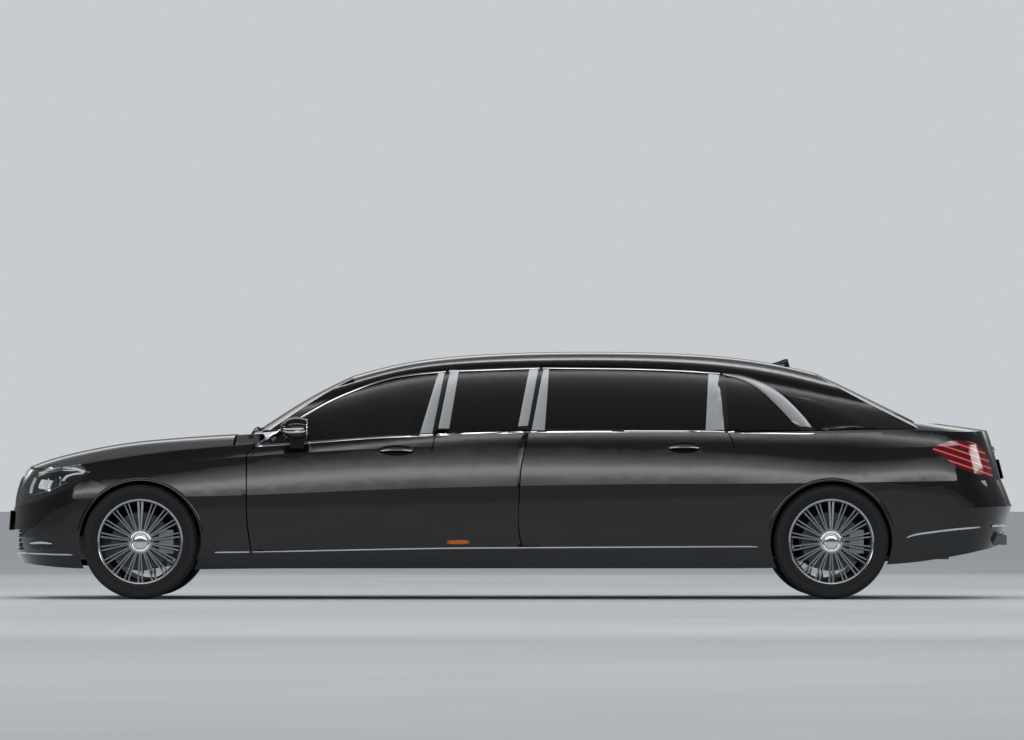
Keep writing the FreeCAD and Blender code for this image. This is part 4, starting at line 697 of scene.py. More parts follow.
# Bright trim and lamps of the left side, in side-view metres, each with its twin on the right
beltStrip = (0.0135, 0.0035, chrome)
frameStrip = (0.0115, 0.0035, chrome)
sillStrip = (0.009, 0.003, chrome)
pillar = (0.0022, brushed)
sideTrim = {
    "front": [
        ("strip", [(-1.640, 0.980), (-1.26, 1.0060), (-0.859, 1.0355), (-0.588, 1.0460), (-0.502, 1.0495)],
         *beltStrip),
        ("strip", [(-1.628, 0.990), (-1.50, 1.073), (-1.355, 1.158), (-1.142, 1.279), (-0.931, 1.3695),
                   (-0.772, 1.417), (-0.613, 1.4435), (-0.422, 1.4605)], *frameStrip),
        ("quad", [(-0.585, 1.061), (-0.470, 1.452)], [(-0.508, 1.061), (-0.430, 1.451)], *pillar),
        ("quad", [(-1.600, 0.996), (-1.470, 1.080)], [(-1.560, 0.996), (-1.440, 1.026)], 0.0018, glossBlack)],
    "middle": [
        ("strip", [(-0.487, 1.0505), (-0.329, 1.0555), (-0.1, 1.0625), (0.098, 1.0685)], *beltStrip),
        ("strip", [(-0.401, 1.4635), (-0.2, 1.4700), (0.0, 1.4775), (0.182, 1.4825)], *frameStrip),
        ("quad", [(-0.474, 1.063), (-0.396, 1.455)], [(-0.404, 1.062), (-0.339, 1.459)], *pillar),
        ("quad", [(0.037, 1.076), (0.114, 1.473)], [(0.099, 1.080), (0.172, 1.474)], *pillar),
        ("strip", [(-1.655, 0.3035), (-0.53, 0.3255), (0.07, 0.3305), (1.387, 0.3375), (1.572, 0.3365)],
         *sillStrip),
        ("strip", [(-0.410, 0.3655), (-0.341, 0.3665), (-0.271, 0.3675)], 0.026, 0.006, amberLens)],
    "wing": [("strip", [(-1.896, 0.3005), (-1.790, 0.3018), (-1.674, 0.3030)], *sillStrip)],
    "rear": [
        ("strip", [(0.122, 1.0690), (0.6, 1.0720), (1.204, 1.0710), (1.364, 1.0680)], *beltStrip),
        ("strip", [(0.200, 1.4820), (0.5, 1.4798), (0.8, 1.4755), (1.1, 1.4635), (1.338, 1.4465)],
         0.0095, 0.0035, chrome),
        ("quad", [(0.130, 1.083), (0.204, 1.473)], [(0.212, 1.081), (0.241, 1.474)], *pillar),
        ("quad", [(1.243, 1.080), (1.264, 1.443)], [(1.362, 1.083), (1.332, 1.438)], *pillar)],
    "quarter": [
        ("strip", [(1.386, 1.0675), (1.62, 1.0625), (1.843, 1.0585), (1.936, 1.0600)], *beltStrip),
        ("quad", [(1.356, 1.4405), (1.488, 1.4035), (1.593, 1.3420), (1.678, 1.2640), (1.774, 1.1640),
                  (1.826, 1.0850)],
         [(1.357, 1.4490), (1.500, 1.4300), (1.640, 1.3750), (1.760, 1.2850), (1.870, 1.1700),
          (1.934, 1.0830)], 0.0035, brushed),
        ("quad", [(1.735, 1.3190), (1.790, 1.2640), (1.880, 1.1700), (1.950, 1.0850)],
         [(1.738, 1.3195), (1.900, 1.2840), (2.100, 1.2150), (2.345, 1.0870)], 0.0012, glossBlack)]}
twins = {"wing": "body", "front": "door_front_", "rear": "door_rear_", "middle": "body", "quarter": "body"}
skins = {"wing": "fender_left", "front": "door_front_left", "rear": "door_rear_left",
         "middle": "body_side_left", "quarter": "body_side_left"}


def makeSideTrim():
    # A strip is (path, width, rise, finish) and a quad is (lower edge, upper edge, rise, finish)
    for area, items in sideTrim.items():
        cast = sideCast(-1, skins[area])
        parts = []
        for kind, first, second, rise, finish in items:
            if kind == "strip":
                parts.append(strip("strip", cast, first, second, rise, finish, 0.04, 0.3))
            else:
                a, b = smoothPath(first, 0.03), smoothPath(second, 0.03)
                count = max(len(a), len(b), 8)
                parts.append(band("quad", cast, pick(a, count), pick(b, count), rise, finish))
        bothSides(merge("bright_trim", parts), "side_trim_" + area, twins[area])


makeSideTrim()
print("stage: side trim")


# Skin between a panel's relief for the swinging door and the line of the shut gap
fillerSizes = {"gap": 0.007, "lap": 0.0003, "back": 0.0016, "steps": 44, "halvings": 14, "reach": 0.006,
               "rim": [(-0.0016, -0.0003), (-0.0005, 0.0002), (0.0, 0.0015), (0.0, 0.014), (-0.0014, 0.014),
                       (-0.0018, 0.0022)]}
shutFillers = {
    "shut_rear": {"side": "body_side_left", "door": "door_rear_left", "probe": 0.030, "start": 0.034,
                  "span": (0.0, 0.14), "low": 0.350, "high": 1.022},
    "shut_front": {"side": "fender_left", "door": "door_front_left", "probe": -1.730, "start": -1.7205,
                   "span": (-1.735, -1.60), "low": 0.500, "high": 0.915}}


outerSkin = -0.80  # hits nearer the middle than this are inner faces


def makeShutFiller(name):
    # Finds the door's edge at each height by halving, and fills up to one gap ahead of it
    shape = shutFillers[name]
    panel, door = treeOf(shape["side"]), treeOf(shape["door"])
    reach = lambda tree, x, z: tree.ray_cast(Vector((x, -2, z)), Vector((0, 1, 0)))[0]
    loops = []
    for i in range(fillerSizes["steps"] + 1):
        z = shape["low"] + (shape["high"] - shape["low"]) * i / fillerSizes["steps"]
        near, far = shape["span"]
        for halving in range(fillerSizes["halvings"]):
            mid = (near + far) / 2
            spot = reach(door, mid, z)
            if spot and spot.y < outerSkin:
                far = mid
            else:
                near = mid
        edge = far - fillerSizes["gap"]
        inner = reach(panel, shape["probe"], z)
        outer = reach(door, far + fillerSizes["reach"], z)
        start = min(shape["start"], edge - 0.004)
        skin = lambda x: inner.y + (outer.y - inner.y) * (x - inner.x) / (outer.x - inner.x)
        loop = [(start, skin(start) - fillerSizes["lap"], z)]
        loop += [(edge + dx, skin(edge) + dy, z) for dx, dy in fillerSizes["rim"]]
        loop.append((start, skin(start) + fillerSizes["back"], z))
        loops.append([Vector(p) for p in loop])
    bothSides(newPiece("filler", *loft(loops), paint, 40), name, "body")


for filler in shutFillers:
    makeShutFiller(filler)
print("stage: shut gaps")


# Headlamps: clear cover, dark bowl, light guides and twin projectors, all in the space of the CAD lamp
lampSizes = {
    "cover": 0.003, "bowl": 0.046, "core": (-2.35, 0.0, 0.70), "facing": 0.42, "edge": 0.022, "rim": 0.004,
    "sink": 0.016, "rise": 0.006, "flat": 0.62, "projectorDeep": 0.058,
    "guideShape": [(0, -1), (0, 0.3), (0.15, 1), (0.85, 1), (1, 0.3), (1, -1)],
    "guides": [
        ([(-3.045, 0.812), (-2.98, 0.836), (-2.90, 0.848), (-2.81, 0.846), (-2.735, 0.826)], 0.014, ledStrip),
        ([(-3.055, 0.796), (-2.98, 0.820), (-2.90, 0.832), (-2.80, 0.829)], 0.006, chrome),
        ([(-2.745, 0.812), (-2.81, 0.806), (-2.855, 0.790), (-2.880, 0.762)], 0.012, ledStrip),
        ([(-3.085, 0.668), (-3.00, 0.688), (-2.92, 0.716), (-2.85, 0.750)], 0.007, chrome),
        ([(-3.105, 0.680), (-3.095, 0.730), (-3.070, 0.785)], 0.010, ledStrip)],
    "projectors": [(-3.020, 0.752, 0.036), (-2.935, 0.766, 0.031)],
    "bezel": [(0.001, -0.004), (0.001, 0.006), (0.004, 0.010), (0.010, 0.004), (0.010, -0.004)]}


def lampHalf(side):
    # The lamp's mesh on one side, merged
    work = bmesh.new()
    work.from_mesh(nodes["headlamps"].data)
    bmesh.ops.delete(work, geom=[v for v in work.verts if v.co.y * side < 0], context="VERTS")
    bmesh.ops.remove_doubles(work, verts=work.verts, dist=1e-5)
    return work


def outerFaces(work):
    # The lamp's faces that look away from the middle of the nose
    away = lambda f: f.normal.dot((f.calc_center_median() - Vector(lampSizes["core"])).normalized())
    return {f for f in work.faces if away(f) > lampSizes["facing"]}


def makeLampCover(side):
    work = lampHalf(side)
    outer = outerFaces(work)
    bmesh.ops.delete(work, geom=[f for f in work.faces if f not in outer], context="FACES")
    bmesh.ops.solidify(work, geom=work.faces[:], thickness=lampSizes["cover"])
    return pieceFromWork("cover", work, clearLens)


def makeLampBowl(side):
    # The lamp's body with its outer faces pushed in, so that it lies as a bowl behind the cover
    work = lampHalf(side)
    outer = outerFaces(work)
    for turn in range(2):
        near = lambda e: any(f in outer for f in e.link_faces)
        long = [e for e in work.edges if e.calc_length() > lampSizes["edge"] and near(e)]
        if long:
            bmesh.ops.subdivide_edges(work, edges=long, cuts=1)
        bmesh.ops.triangulate(work, faces=[f for f in work.faces if len(f.verts) > 4])
        outer = outerFaces(work)
    for v in work.verts:
        inside = [f in outer for f in v.link_faces]
        if any(inside):
            v.co -= v.normal * (lampSizes["bowl"] if all(inside) else lampSizes["rim"])
    return pieceFromWork("bowl", work, satinBlack, 50)


def makeHeadlamp(side):
    hand = "left" if side < 0 else "right"
    cast = sideCast(side, "headlamps")

    def sunk(x, z):
        spot, normal = cast(x, z)
        return spot - normal * lampSizes["sink"], normal
    parts = []
    for points, width, finish in lampSizes["guides"]:
        edges = pathEdges(smoothPath(points, 0.02), lambda t: width)
        loops = bandLoops(sunk, *edges, lampSizes["rise"], lampSizes["guideShape"])
        parts.append(newPiece("guide", *loft(loops), finish))
    for x, z, size in lampSizes["projectors"]:
        spot, normal = cast(x, z)
        aim = (normal + Vector((-1.6, 0.4 * side, 0))).normalized()
        place = seatOn(spot - normal * lampSizes["projectorDeep"], aim)
        ball = [(size * math.cos(a), size * lampSizes["flat"] * math.sin(a))
                for a in (math.pi / 2 * i / 8 for i in range(9))]
        profile = [(r if r > 1e-4 else 2e-4, h + 0.004) for r, h in ball] + [(2e-4, -0.002), (size, -0.002)]
        parts.append(lathe("projector", profile, place, clearLens, 32))
        parts.append(lathe("bezel", [(size + r, h) for r, h in lampSizes["bezel"]], place, chrome, 40))
    inner = merge("headlamp_inner_" + hand, parts + [makeLampBowl(side)])
    settle(inner, "body")
    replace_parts(inner, "headlamps")
    settle(makeLampCover(side), "body").name = "headlamp_cover_" + hand


for side in (-1, 1):
    makeHeadlamp(side)
print("stage: headlamps")


# Bumpers, plates and bright bars; crosswise ones are found by casting from ahead or behind
plateSizes = {"half": 0.26, "tall": 0.056, "front": (0.0, 0.503), "rear": (0.0, 0.835), "rim": 0.008,
              "screws": 0.18, "screw": [(0.0002, 0.002), (0.004, 0.0016), (0.0058, 0.0), (0.0002, -0.0005)]}
frontCast = rayCast(["front_bumper"], (1, 0, 0))
rearCast = rayCast(["rear_bumper", "boot_lid"], (-1, 0, 0))
noseSide = sideCast(-1, "front_bumper")
tailSide = sideCast(-1, "rear_bumper")


def makePlate(name, cast, centre, outward, body):
    # Blank plate in a slim dark frame, laid to the slope of the panel behind it
    half, tall, rim = plateSizes["half"], plateSizes["tall"], plateSizes["rim"]
    spot = cast(*centre)[0]
    run = cast(centre[0], centre[1] + tall)[0] - cast(centre[0], centre[1] - tall)[0]
    place = frameAt(spot, Vector((0, outward, 0)), Vector((run.z, 0, -run.x)) * outward)
    parts = [block("holder", (-half - rim, -tall - rim, -0.003), (half + rim, tall + rim, 0.005), 0.003,
                   satinBlack, place),
             block("blank", (-half, -tall, 0.0030), (half, tall, 0.0066), 0.0008, plate, place)]
    for x in (-plateSizes["screws"], plateSizes["screws"]):
        parts.append(lathe("screw", plateSizes["screw"], place @ Matrix.Translation((x, 0, 0.0064)),
                           pipeMetal, 16))
    settle(merge(name, parts), body)


makePlate("plate_front", frontCast, plateSizes["front"], -1, "body")
makePlate("plate_rear", rearCast, plateSizes["rear"], 1, "boot_lid")


def crossStrip(cast, height, reach, width, rise, finish, bend):
    # A bar right across the nose or tail, rising by bend at its ends
    ys = [reach * (i / 12 - 1) for i in range(25)]
    points = [(y, height + bend * (abs(y) / reach) ** 2) for y in ys]
    return strip("bar", cast, points, width, rise, finish, 0.05)


noseTrim = {
    "across": [(0.292, 0.60, 0.013, 0.006, chrome, 0.004), (0.462, 0.60, 0.006, 0.002, satinBlack, 0.0)],
    "bars": [([(-3.17, 0.297), (-3.08, 0.292), (-2.95, 0.288), (-2.81, 0.285)], 0.010, 0.004),
             ([(-3.088, 0.358), (-3.04, 0.362), (-3.00, 0.363), (-2.94, 0.358)], 0.017, 0.009)],
    "pocketTop": [(-3.095, 0.330), (-3.090, 0.372), (-3.06, 0.396), (-3.01, 0.404), (-2.95, 0.378),
                  (-2.915, 0.335)],
    "pocketLow": [(-3.095, 0.328), (-3.08, 0.324), (-3.05, 0.321), (-3.00, 0.320), (-2.96, 0.322),
                  (-2.915, 0.333)],
    "probe": 0.462, "finPitch": 0.018, "fins": 61, "finDeep": 0.052, "finHeight": 0.3785,
    "slats": (0.332, 0.363, 0.394, 0.425), "slatDeep": 0.040, "slatRadius": 0.0045}


def makeFrontTrim():
    # Bright lip and bars, and the dark pocket at each corner
    parts = [crossStrip(frontCast, *bar) for bar in noseTrim["across"]]
    for points, width, rise in noseTrim["bars"]:
        bar = strip("bar", noseSide, points, width, rise, chrome, 0.03, 0.5)
        parts += [bar, mirrorPiece(bar, "bar2")]
    edges = [pick(smoothPath(noseTrim[edge], 0.05), 16) for edge in ("pocketTop", "pocketLow")]
    dark = band("pocket", noseSide, *edges, 0.0012, glossBlack)
    parts += [dark, mirrorPiece(dark, "pocket2")]
    settle(merge("front_trim", parts), "body")


def makeIntakeMesh():
    # Black slats and fins fill the lower intake, set 40 mm behind the skin
    fin = block("slat", (-0.010, -0.0012, -0.062), (0.010, 0.0012, 0.062), 0.0008, satinBlack, None, 1)
    first = -noseTrim["finPitch"] * (noseTrim["fins"] - 1) / 2
    ys = [first + noseTrim["finPitch"] * i for i in range(noseTrim["fins"])]
    skin = lambda y: frontCast(y, noseTrim["probe"])[0].x
    spots = [((skin(y) + noseTrim["finDeep"], y, noseTrim["finHeight"]), unturned) for y in ys]
    parts = [repeatAt("fins", fin, spots, satinBlack)]
    for z in noseTrim["slats"]:
        path = [Vector((skin(y) + noseTrim["slatDeep"], y, z)) for y in ys[::3]]
        parts.append(rod("bar", path, noseTrim["slatRadius"], glossBlack, 8, None, 1.6))
    settle(merge("intake_mesh", parts), "body")


grilleSizes = {
    "rail": 0.026, "inset": 0.012, "louvres": 4, "louvreHalf": 0.0078, "rise": 0.006, "deep": 0.028,
    "pins": 18, "pinPitch": 0.012, "pinDeep": 0.020, "beadInset": 0.003, "beads": (0.0035, 0.0030),
    "dome": [(0, -0.5), (0.02, 0.4), (0.12, 0.75), (0.3, 0.95), (0.5, 1), (0.7, 0.95), (0.88, 0.75),
             (0.98, 0.4), (1, -0.5)]}


def makeGrille():
    # Black net behind, a rolled bead on each edge of the frame and a rounded bright face on each louvre
    low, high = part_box("grille")
    half, base, top = high.y, low.z, high.z
    rail, inset, bead = grilleSizes["rail"], grilleSizes["inset"], grilleSizes["beadInset"]
    mesh = nodes["grille"].data
    mesh.materials.append(satinBlack)
    cast = rayCast(["grille"], (1, 0, 0))
    skin = lambda y, z: cast(y, z)[0].x
    lowX, topX, mid = skin(0, base + inset), skin(0, top - inset), (base + top) / 2
    bulge = max(0, skin(half - inset, mid) - lowX * 0.5 - topX * 0.5)
    for face in mesh.polygons:
        c = face.center
        rise = (c.z - base) / (top - base)
        side = min(1.0, abs(c.y) / half)
        if c.x > lowX * (1 - rise) + topX * rise + bulge * side * side + grilleSizes["deep"]:
            face.material_index = len(mesh.materials) - 1
    parts = []
    for gap, radius in zip((bead, rail - bead), grilleSizes["beads"]):
        y, z0, z1 = half - gap, base + gap, top - gap
        path = straightPath([(-y, z0, 0), (y, z0, 0), (y, z1, 0), (-y, z1, 0), (-y, z0, 0)], 0.03)
        parts.append(rod("bead", [cast(p.x, p.y)[0] for p in path], radius, chrome, 10))
    pitch = (top - base - 2 * rail) / (grilleSizes["louvres"] + 1)
    ys = [(half - rail - 0.002) * (i / 12 - 1) for i in range(25)]
    for i in range(grilleSizes["louvres"]):
        z = base + rail + pitch * (i + 1)
        edges = [[Vector((y, z + sign * grilleSizes["louvreHalf"])) for y in ys] for sign in (-1, 1)]
        parts.append(band("louvre", cast, *edges, grilleSizes["rise"], chrome, grilleSizes["dome"]))
    pin = block("pin", (-0.0010, -0.0012, -0.11), (0.0010, 0.0012, 0.11), 0.0006, glossBlack, None, 1)
    tilt = math.atan2(topX - lowX, top - base - 2 * inset)
    spots = []
    for i in range(-grilleSizes["pins"], grilleSizes["pins"] + 1):
        y = grilleSizes["pinPitch"] * i
        x = skin(y, base + inset) * 0.5 + skin(y, top - inset) * 0.5 + grilleSizes["pinDeep"]
        spots.append(((x, y, mid), (0, tilt, 0)))
    parts.append(repeatAt("pins", pin, spots, glossBlack))
    settle(merge("grille_trim", parts), "body")


tailTrim = {
    "bar": [(2.527, 0.395), (2.584, 0.4145), (2.795, 0.4430), (3.000, 0.4625)],
    "across": [(0.474, 0.72, 0.016, 0.006, chrome, -0.004), (0.405, 0.38, 0.050, 0.003, satinBlack, 0.0)],
    "lid": [(0.958, 0.44, 0.026, 0.010, chrome, 0.010), (0.940, 0.30, 0.006, 0.006, clearLens, 0.0)],
    "sensors": (-0.62, -0.24, 0.24, 0.62), "sensorHeight": 0.60,
    "sensor": [(0.0002, 0.0016), (0.008, 0.0014), (0.010, 0.0006), (0.012, 0.0008), (0.013, -0.001),
               (0.0002, -0.001)]}


def makeRearTrim():
    # Bright bars, parking sensors and the dark insert between the outlets; the grip bar rides on the lid
    low = strip("bar", tailSide, tailTrim["bar"], 0.013, 0.005, chrome, 0.03, 0.6)
    parts = [low, mirrorPiece(low, "bar2")] + [crossStrip(rearCast, *bar) for bar in tailTrim["across"]]
    for y in tailTrim["sensors"]:
        place = seatOn(*rearCast(y, tailTrim["sensorHeight"]))
        parts.append(lathe("sensor", tailTrim["sensor"], place, glossBlack, 24))
    settle(merge("rear_trim", parts), "body")
    grip = [crossStrip(rearCast, *bar) for bar in tailTrim["lid"]]
    settle(merge("boot_bar", grip), "boot_lid")


tipSizes = {"across": 0.5, "height": 0.378, "half": 0.0475, "tall": 0.031, "square": 0.4,
            "rings": [(-0.075, 0.001), (-0.006, 0.005), (0.002, 0.004), (0.002, -0.004), (-0.030, -0.010)]}


def makeTips():
    # Bright finishers with rounded corners round the exhaust outlets
    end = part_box("exhaust")[1].x
    across, height = tipSizes["across"], tipSizes["height"]
    squared = lambda c: math.copysign(abs(c) ** tipSizes["square"], c)
    for side, hand in ((-1, "left"), (1, "right")):
        loops = []
        for back, grow in tipSizes["rings"]:
            half, tall = tipSizes["half"] + grow, tipSizes["tall"] + grow
            loops.append([Vector((end + back, side * across + squared(c) * half, height + squared(s) * tall))
                          for c, s in circle(32)])
        settle(newPiece("tip_" + hand, *loft(loops, False, True), chrome), "body")


makeGrille()
makeFrontTrim()
makeIntakeMesh()
makeRearTrim()
makeTips()
print("stage: nose and tail trim")


# Rolled lips of the wheel arches: axle, first and last angle, panels, then (radius, lift) round the roll
arches = {"front": (frontAxle, -6, 183, ("fender_left", "front_bumper", "body_side_left")),
          "rear": (rearAxle, -6, 187, ("body_side_left", "rear_bumper"))}
archRoll = [(0.3883, -0.012), (0.3883, 0.0015), (0.3905, 0.0038), (0.396, 0.0045), (0.403, 0.0035),
            (0.409, 0.0012), (0.413, -0.0010)]
archEdge = 0.392  # the skin is probed no nearer to the wheel than this


def makeArch(end):
    axle, first, last, names = arches[end]
    tree = treeOf(*names)
    loops = []
    for i in range(73):
        a = math.radians(first + (last - first) * i / 72)
        at = lambda r, y: Vector((axle + r * math.cos(a), y, tyreSizes["radius"] + r * math.sin(a)))
        loop = []
        for radius, lift in archRoll:
            spot = tree.ray_cast(at(max(radius, archEdge), -2), Vector((0, 1, 0)))[0]
            if spot is None or spot.y > outerSkin:
                loop = None
                break
            loop.append(at(radius, spot.y - lift))
        if loop:
            loops.append(loop)
        elif len(loops) > 8:
            break
    bothSides(newPiece("arch", *loft(loops), paint), "arch_lip_" + end, "body")


for end in arches:
    makeArch(end)


# Door handles: dark scooped bowl, arched pull bar with a bright inlay
handles = {"front": {"x": (-0.857, -0.613), "z": (0.917, 0.985), "bar": 0.949},
           "rear": {"x": (0.990, 1.218), "z": (0.932, 1.006), "bar": 0.967}}
handleSizes = {"bowl": [(1.06, -0.001), (1.05, 0.0008), (1.0, 0.0012), (0.94, 0.0006), (0.6, 0.0003),
                        (0.02, 0.0003)],
               "endInset": 0.004, "bow": 0.004, "root": 0.001, "standOff": 0.034, "blunt": 0.55,
               "grip": 0.0085, "swell": 0.0035, "inlay": 0.0048, "inlayShift": (0, -0.0075, -0.003)}


def makeHandle(area):
    (x0, x1), (z0, z1), bar = handles[area]["x"], handles[area]["z"], handles[area]["bar"]
    cast = sideCast(-1, skins[area])
    x, z, half, tall = (x0 + x1) / 2, (z0 + z1) / 2, (x1 - x0) / 2, (z1 - z0) / 2
    loops = []
    for share, lift in handleSizes["bowl"]:
        hits = [cast(x + half * share * c, z + tall * share * s) for c, s in circle(40)]
        loops.append([spot + normal * lift for spot, normal in hits])
    bowl = newPiece("bowl", *loft(loops), glossBlack)
    path = []
    end = handleSizes["endInset"]
    for i in range(25):
        t = i / 24
        arch = math.sin(math.pi * t)
        spot, normal = cast(x0 + end + (x1 - x0 - 2 * end) * t, bar + handleSizes["bow"] * arch)
        off = handleSizes["root"] + handleSizes["standOff"] * arch ** handleSizes["blunt"]
        path.append(spot + normal * off)
    thick = lambda t: handleSizes["grip"] + handleSizes["swell"] * math.sin(math.pi * t)
    pull = rod("pull", path, thick, paint, 16, None, 1.25)
    line = [p + Vector(handleSizes["inlayShift"]) for p in path[2:-2]]
    inlay = rod("inlay", line, handleSizes["inlay"], chrome, 10, None, 0.8)
    bothSides(merge("handle", [bowl, pull, inlay]), "handle_" + area, twins[area])


for area in handles:
    makeHandle(area)


# Mirrors: bright lower blade, lamp strip and glass on the flat rear face
mirrorTrim = {"blade": [(-1.462, 1.076), (-1.43, 1.070), (-1.38, 1.069), (-1.33, 1.073), (-1.316, 1.077)],
              "lamp": [(-1.455, 1.090), (-1.42, 1.088), (-1.37, 1.088), (-1.325, 1.090)],
              "centre": (-0.975, 1.092), "half": (0.078, 0.063),
              "rings": [(1.0, -0.002), (1.0, 0.002), (0.985, 0.003), (0.93, 0.0015), (0.02, 0.0015)]}


def makeMirrorTrim():
    cast = sideCast(-1, "mirror_left")
    blade = strip("blade", cast, mirrorTrim["blade"], 0.013, 0.0035, chrome, 0.02, 0.4)
    lamp = strip("line", cast, mirrorTrim["lamp"], 0.006, 0.003, ledStrip, 0.02, 0.4)
    (y, z), (wide, tall) = mirrorTrim["centre"], mirrorTrim["half"]
    x = treeOf("mirror_left").ray_cast(Vector((-1.0, y, z)), Vector((-1, 0, 0)))[0].x
    loops = [[Vector((x + lift, y + wide * c * s, z + tall * d * s)) for c, d in circle(36)]
             for s, lift in mirrorTrim["rings"]]
    glass = newPiece("glass", *loft(loops), mirrorGlass, 20)
    bothSides(merge("mirror_trim", [blade, lamp, glass]), "mirror_trim", "door_front_")


makeMirrorTrim()


# Roof aerial, a fin from (along, half width, height) rings, and wipers from (pivot, tip) across the car
roofAerial = [(1.690, 0.004, 0.002), (1.705, 0.016, 0.008), (1.730, 0.024, 0.020), (1.755, 0.024, 0.034),
              (1.780, 0.019, 0.048), (1.797, 0.012, 0.052), (1.806, 0.006, 0.030), (1.812, 0.003, 0.004)]
wiperSizes = {"spans": [(-0.60, 0.02), (0.10, 0.70)], "foot": -1.705, "footBow": 0.045, "footHeight": 1.045,
              "blade": -1.640, "bladeBow": 0.075, "halfScreen": 0.8, "overhang": 0.05, "lift": 0.012,
              "boss": [(0.0002, 0.012), (0.010, 0.011), (0.014, 0.004), (0.014, -0.03), (0.0002, -0.03)]}


def makeAerial():
    cast = rayCast(["roof_panel"], (0, 0, -1))
    root = 0.003
    loops = []
    for x, half, top in roofAerial:
        base = cast(x, 0)[0].z - root
        loops.append([Vector((x, half * math.cos(a), base + (root + top) * math.sin(a) ** 0.8))
                      for a in (math.pi * i / 19 for i in range(20))])
    settle(newPiece("roof_aerial", *loft(loops), paint), "body")


def makeWipers():
    # Both blades lie along the bow of the screen's foot
    cast = rayCast(["windscreen"], (0, 0, -1))
    sizes = wiperSizes
    parts = []
    for pivot, tip in sizes["spans"]:
        foot = Vector((sizes["foot"] + sizes["footBow"] * (pivot / sizes["halfScreen"]) ** 2, pivot,
                       sizes["footHeight"]))
        blade = []
        for i in range(15):
            y = pivot - sizes["overhang"] + (tip - pivot + sizes["overhang"]) * i / 14
            x = sizes["blade"] + sizes["bladeBow"] * (y / sizes["halfScreen"]) ** 2
            spot, normal = cast(x, y)
            blade.append(spot + normal * sizes["lift"])
        middle = blade[7]
        arm = [foot, foot.lerp(middle, 0.5) + Vector((0, 0, 0.018)), middle + Vector((-0.003, 0, 0.008))]
        slim = lambda t: 0.0065 * (1 - 0.5 * abs(2 * t - 1) ** 3)
        parts.append(rod("blade", blade, slim, satinBlack, 8, None, 1.3))
        parts.append(rod("arm", arm, lambda t: 0.009 - 0.004 * t, satinBlack, 8, 0.03, 0.7))
        parts.append(lathe("boss", sizes["boss"], Matrix.Translation(foot), satinBlack, 20))
    settle(merge("wipers", parts), "body")


makeAerial()
makeWipers()
print("stage: handles, mirrors, wipers")


# Seats: padded cushions with sewn channels, piping, hard plinth and shell, in the space of the CAD seats
seatSizes = {
    "floor": 0.230, "lean": 10.0, "side": 0.400,
    "rows": {"front": (-0.760, -1), "jump": (-0.1499, 1), "rear": (1.3085, -1)},
    "channelDepth": 0.007, "channelWidth": 0.008, "pullLong": 0.02, "pullWide": 0.025, "piping": 0.0035,
    "cushion": {"at": (0.25, 0.205), "size": (0.50, 0.525, 0.098), "crown": 0.014},
    "back": {"at": (-0.098, 0.545), "size": (0.60, 0.50, 0.088), "crown": 0.012},
    "headrest": {"at": (-0.170, 0.925), "size": (0.165, 0.265, 0.070), "crown": 0.008},
    "channels": [("y", -0.52), ("y", 0.52), ("x", -0.55), ("x", -0.25), ("x", 0.05), ("x", 0.35),
                 ("x", 0.62)],
    "plinth": (0.07, 0.43, 0.21, 0.150), "shell": (0.33, 0.235, 0.012, 0.010), "posts": 0.055,
    "post": [(-0.150, 0.80), (-0.168, 0.885)], "armSide": 0.262, "armHalf": 0.022}


def padPoint(u, v, depth, width):
    # A place in the pad's plane, with the sides pulled in between the corners
    return (depth / 2 * u * (1 - seatSizes["pullLong"] * (1 - v * v) * abs(u) ** 3),
            width / 2 * v * (1 - seatSizes["pullWide"] * (1 - u * u) * abs(v) ** 3))


def padHeight(u, v, size, crown, channels):
    # The crowned upper face with its sewn channels
    depth, width = size[:2]
    z = crown * (1 - u * u) * (1 - v * v)
    for axis, line in channels:
        here, other, span = (u, v, depth) if axis == "x" else (v, u, width)
        gap = abs(here - line) * span / 2 / seatSizes["channelWidth"]
        z -= seatSizes["channelDepth"] * (1 - abs(other) ** 6) * math.exp(-gap ** 2)
    return z


def cushion(name, place, size, channels, crown, finish, grid):
    # Crowned closed pad: X is its length, Y its width, Z its thickness, with piping round its edge
    depth, width, thick = size
    shares = [[math.sin(math.pi / 2 * (2 * i / n - 1)) for i in range(n + 1)] for n in grid]
    verts, faces = [], []
    for face in (1, -1):
        for u in shares[0]:
            for v in shares[1]:
                inner = abs(u) < 1 and abs(v) < 1
                edge = ((1 - abs(u) ** 7) * (1 - abs(v) ** 7)) ** 0.42 if inner else 0
                z = face * thick / 2 * edge * (1.0 if face > 0 else 0.8)
                if face > 0:
                    z += padHeight(u, v, size, crown, channels)
                verts.append(place @ Vector((*padPoint(u, v, depth, width), z)))
    rows, count = grid[0] + 1, grid[1] + 1
    for side in (0, 1):
        for i in range(rows - 1):
            for j in range(count - 1):
                a = side * rows * count + i * count + j
                loop = (a, a + count, a + count + 1, a + 1)
                faces.append(loop if side == 0 else (a, a + 1, a + count + 1, a + count))
    pad = newPiece(name, verts, faces, finish, 80)
    us, vs = shares[0][2:-2:3], shares[1][2:-2:3]
    ring = [(u, -1) for u in us] + [(1, v) for v in vs] + [(u, 1) for u in reversed(us)]
    ring += [(-1, v) for v in reversed(vs)]
    path = [place @ Vector((*padPoint(u, v, depth, width), 0.0)) for u, v in ring]
    loops, closed = [], path + path[:1]
    for i in range(len(path)):
        run = (closed[i + 1] - path[i - 1]).normalized()
        side = run.cross(place.to_3x3() @ Vector((0, 0, 1))).normalized()
        up = run.cross(side)
        loops.append([path[i] + (side * c + up * s) * seatSizes["piping"] for c, s in circle(6)])
    piping = newPiece("piping", *loft(loops, False, True), leatherDark)
    return merge(name, [pad, piping])


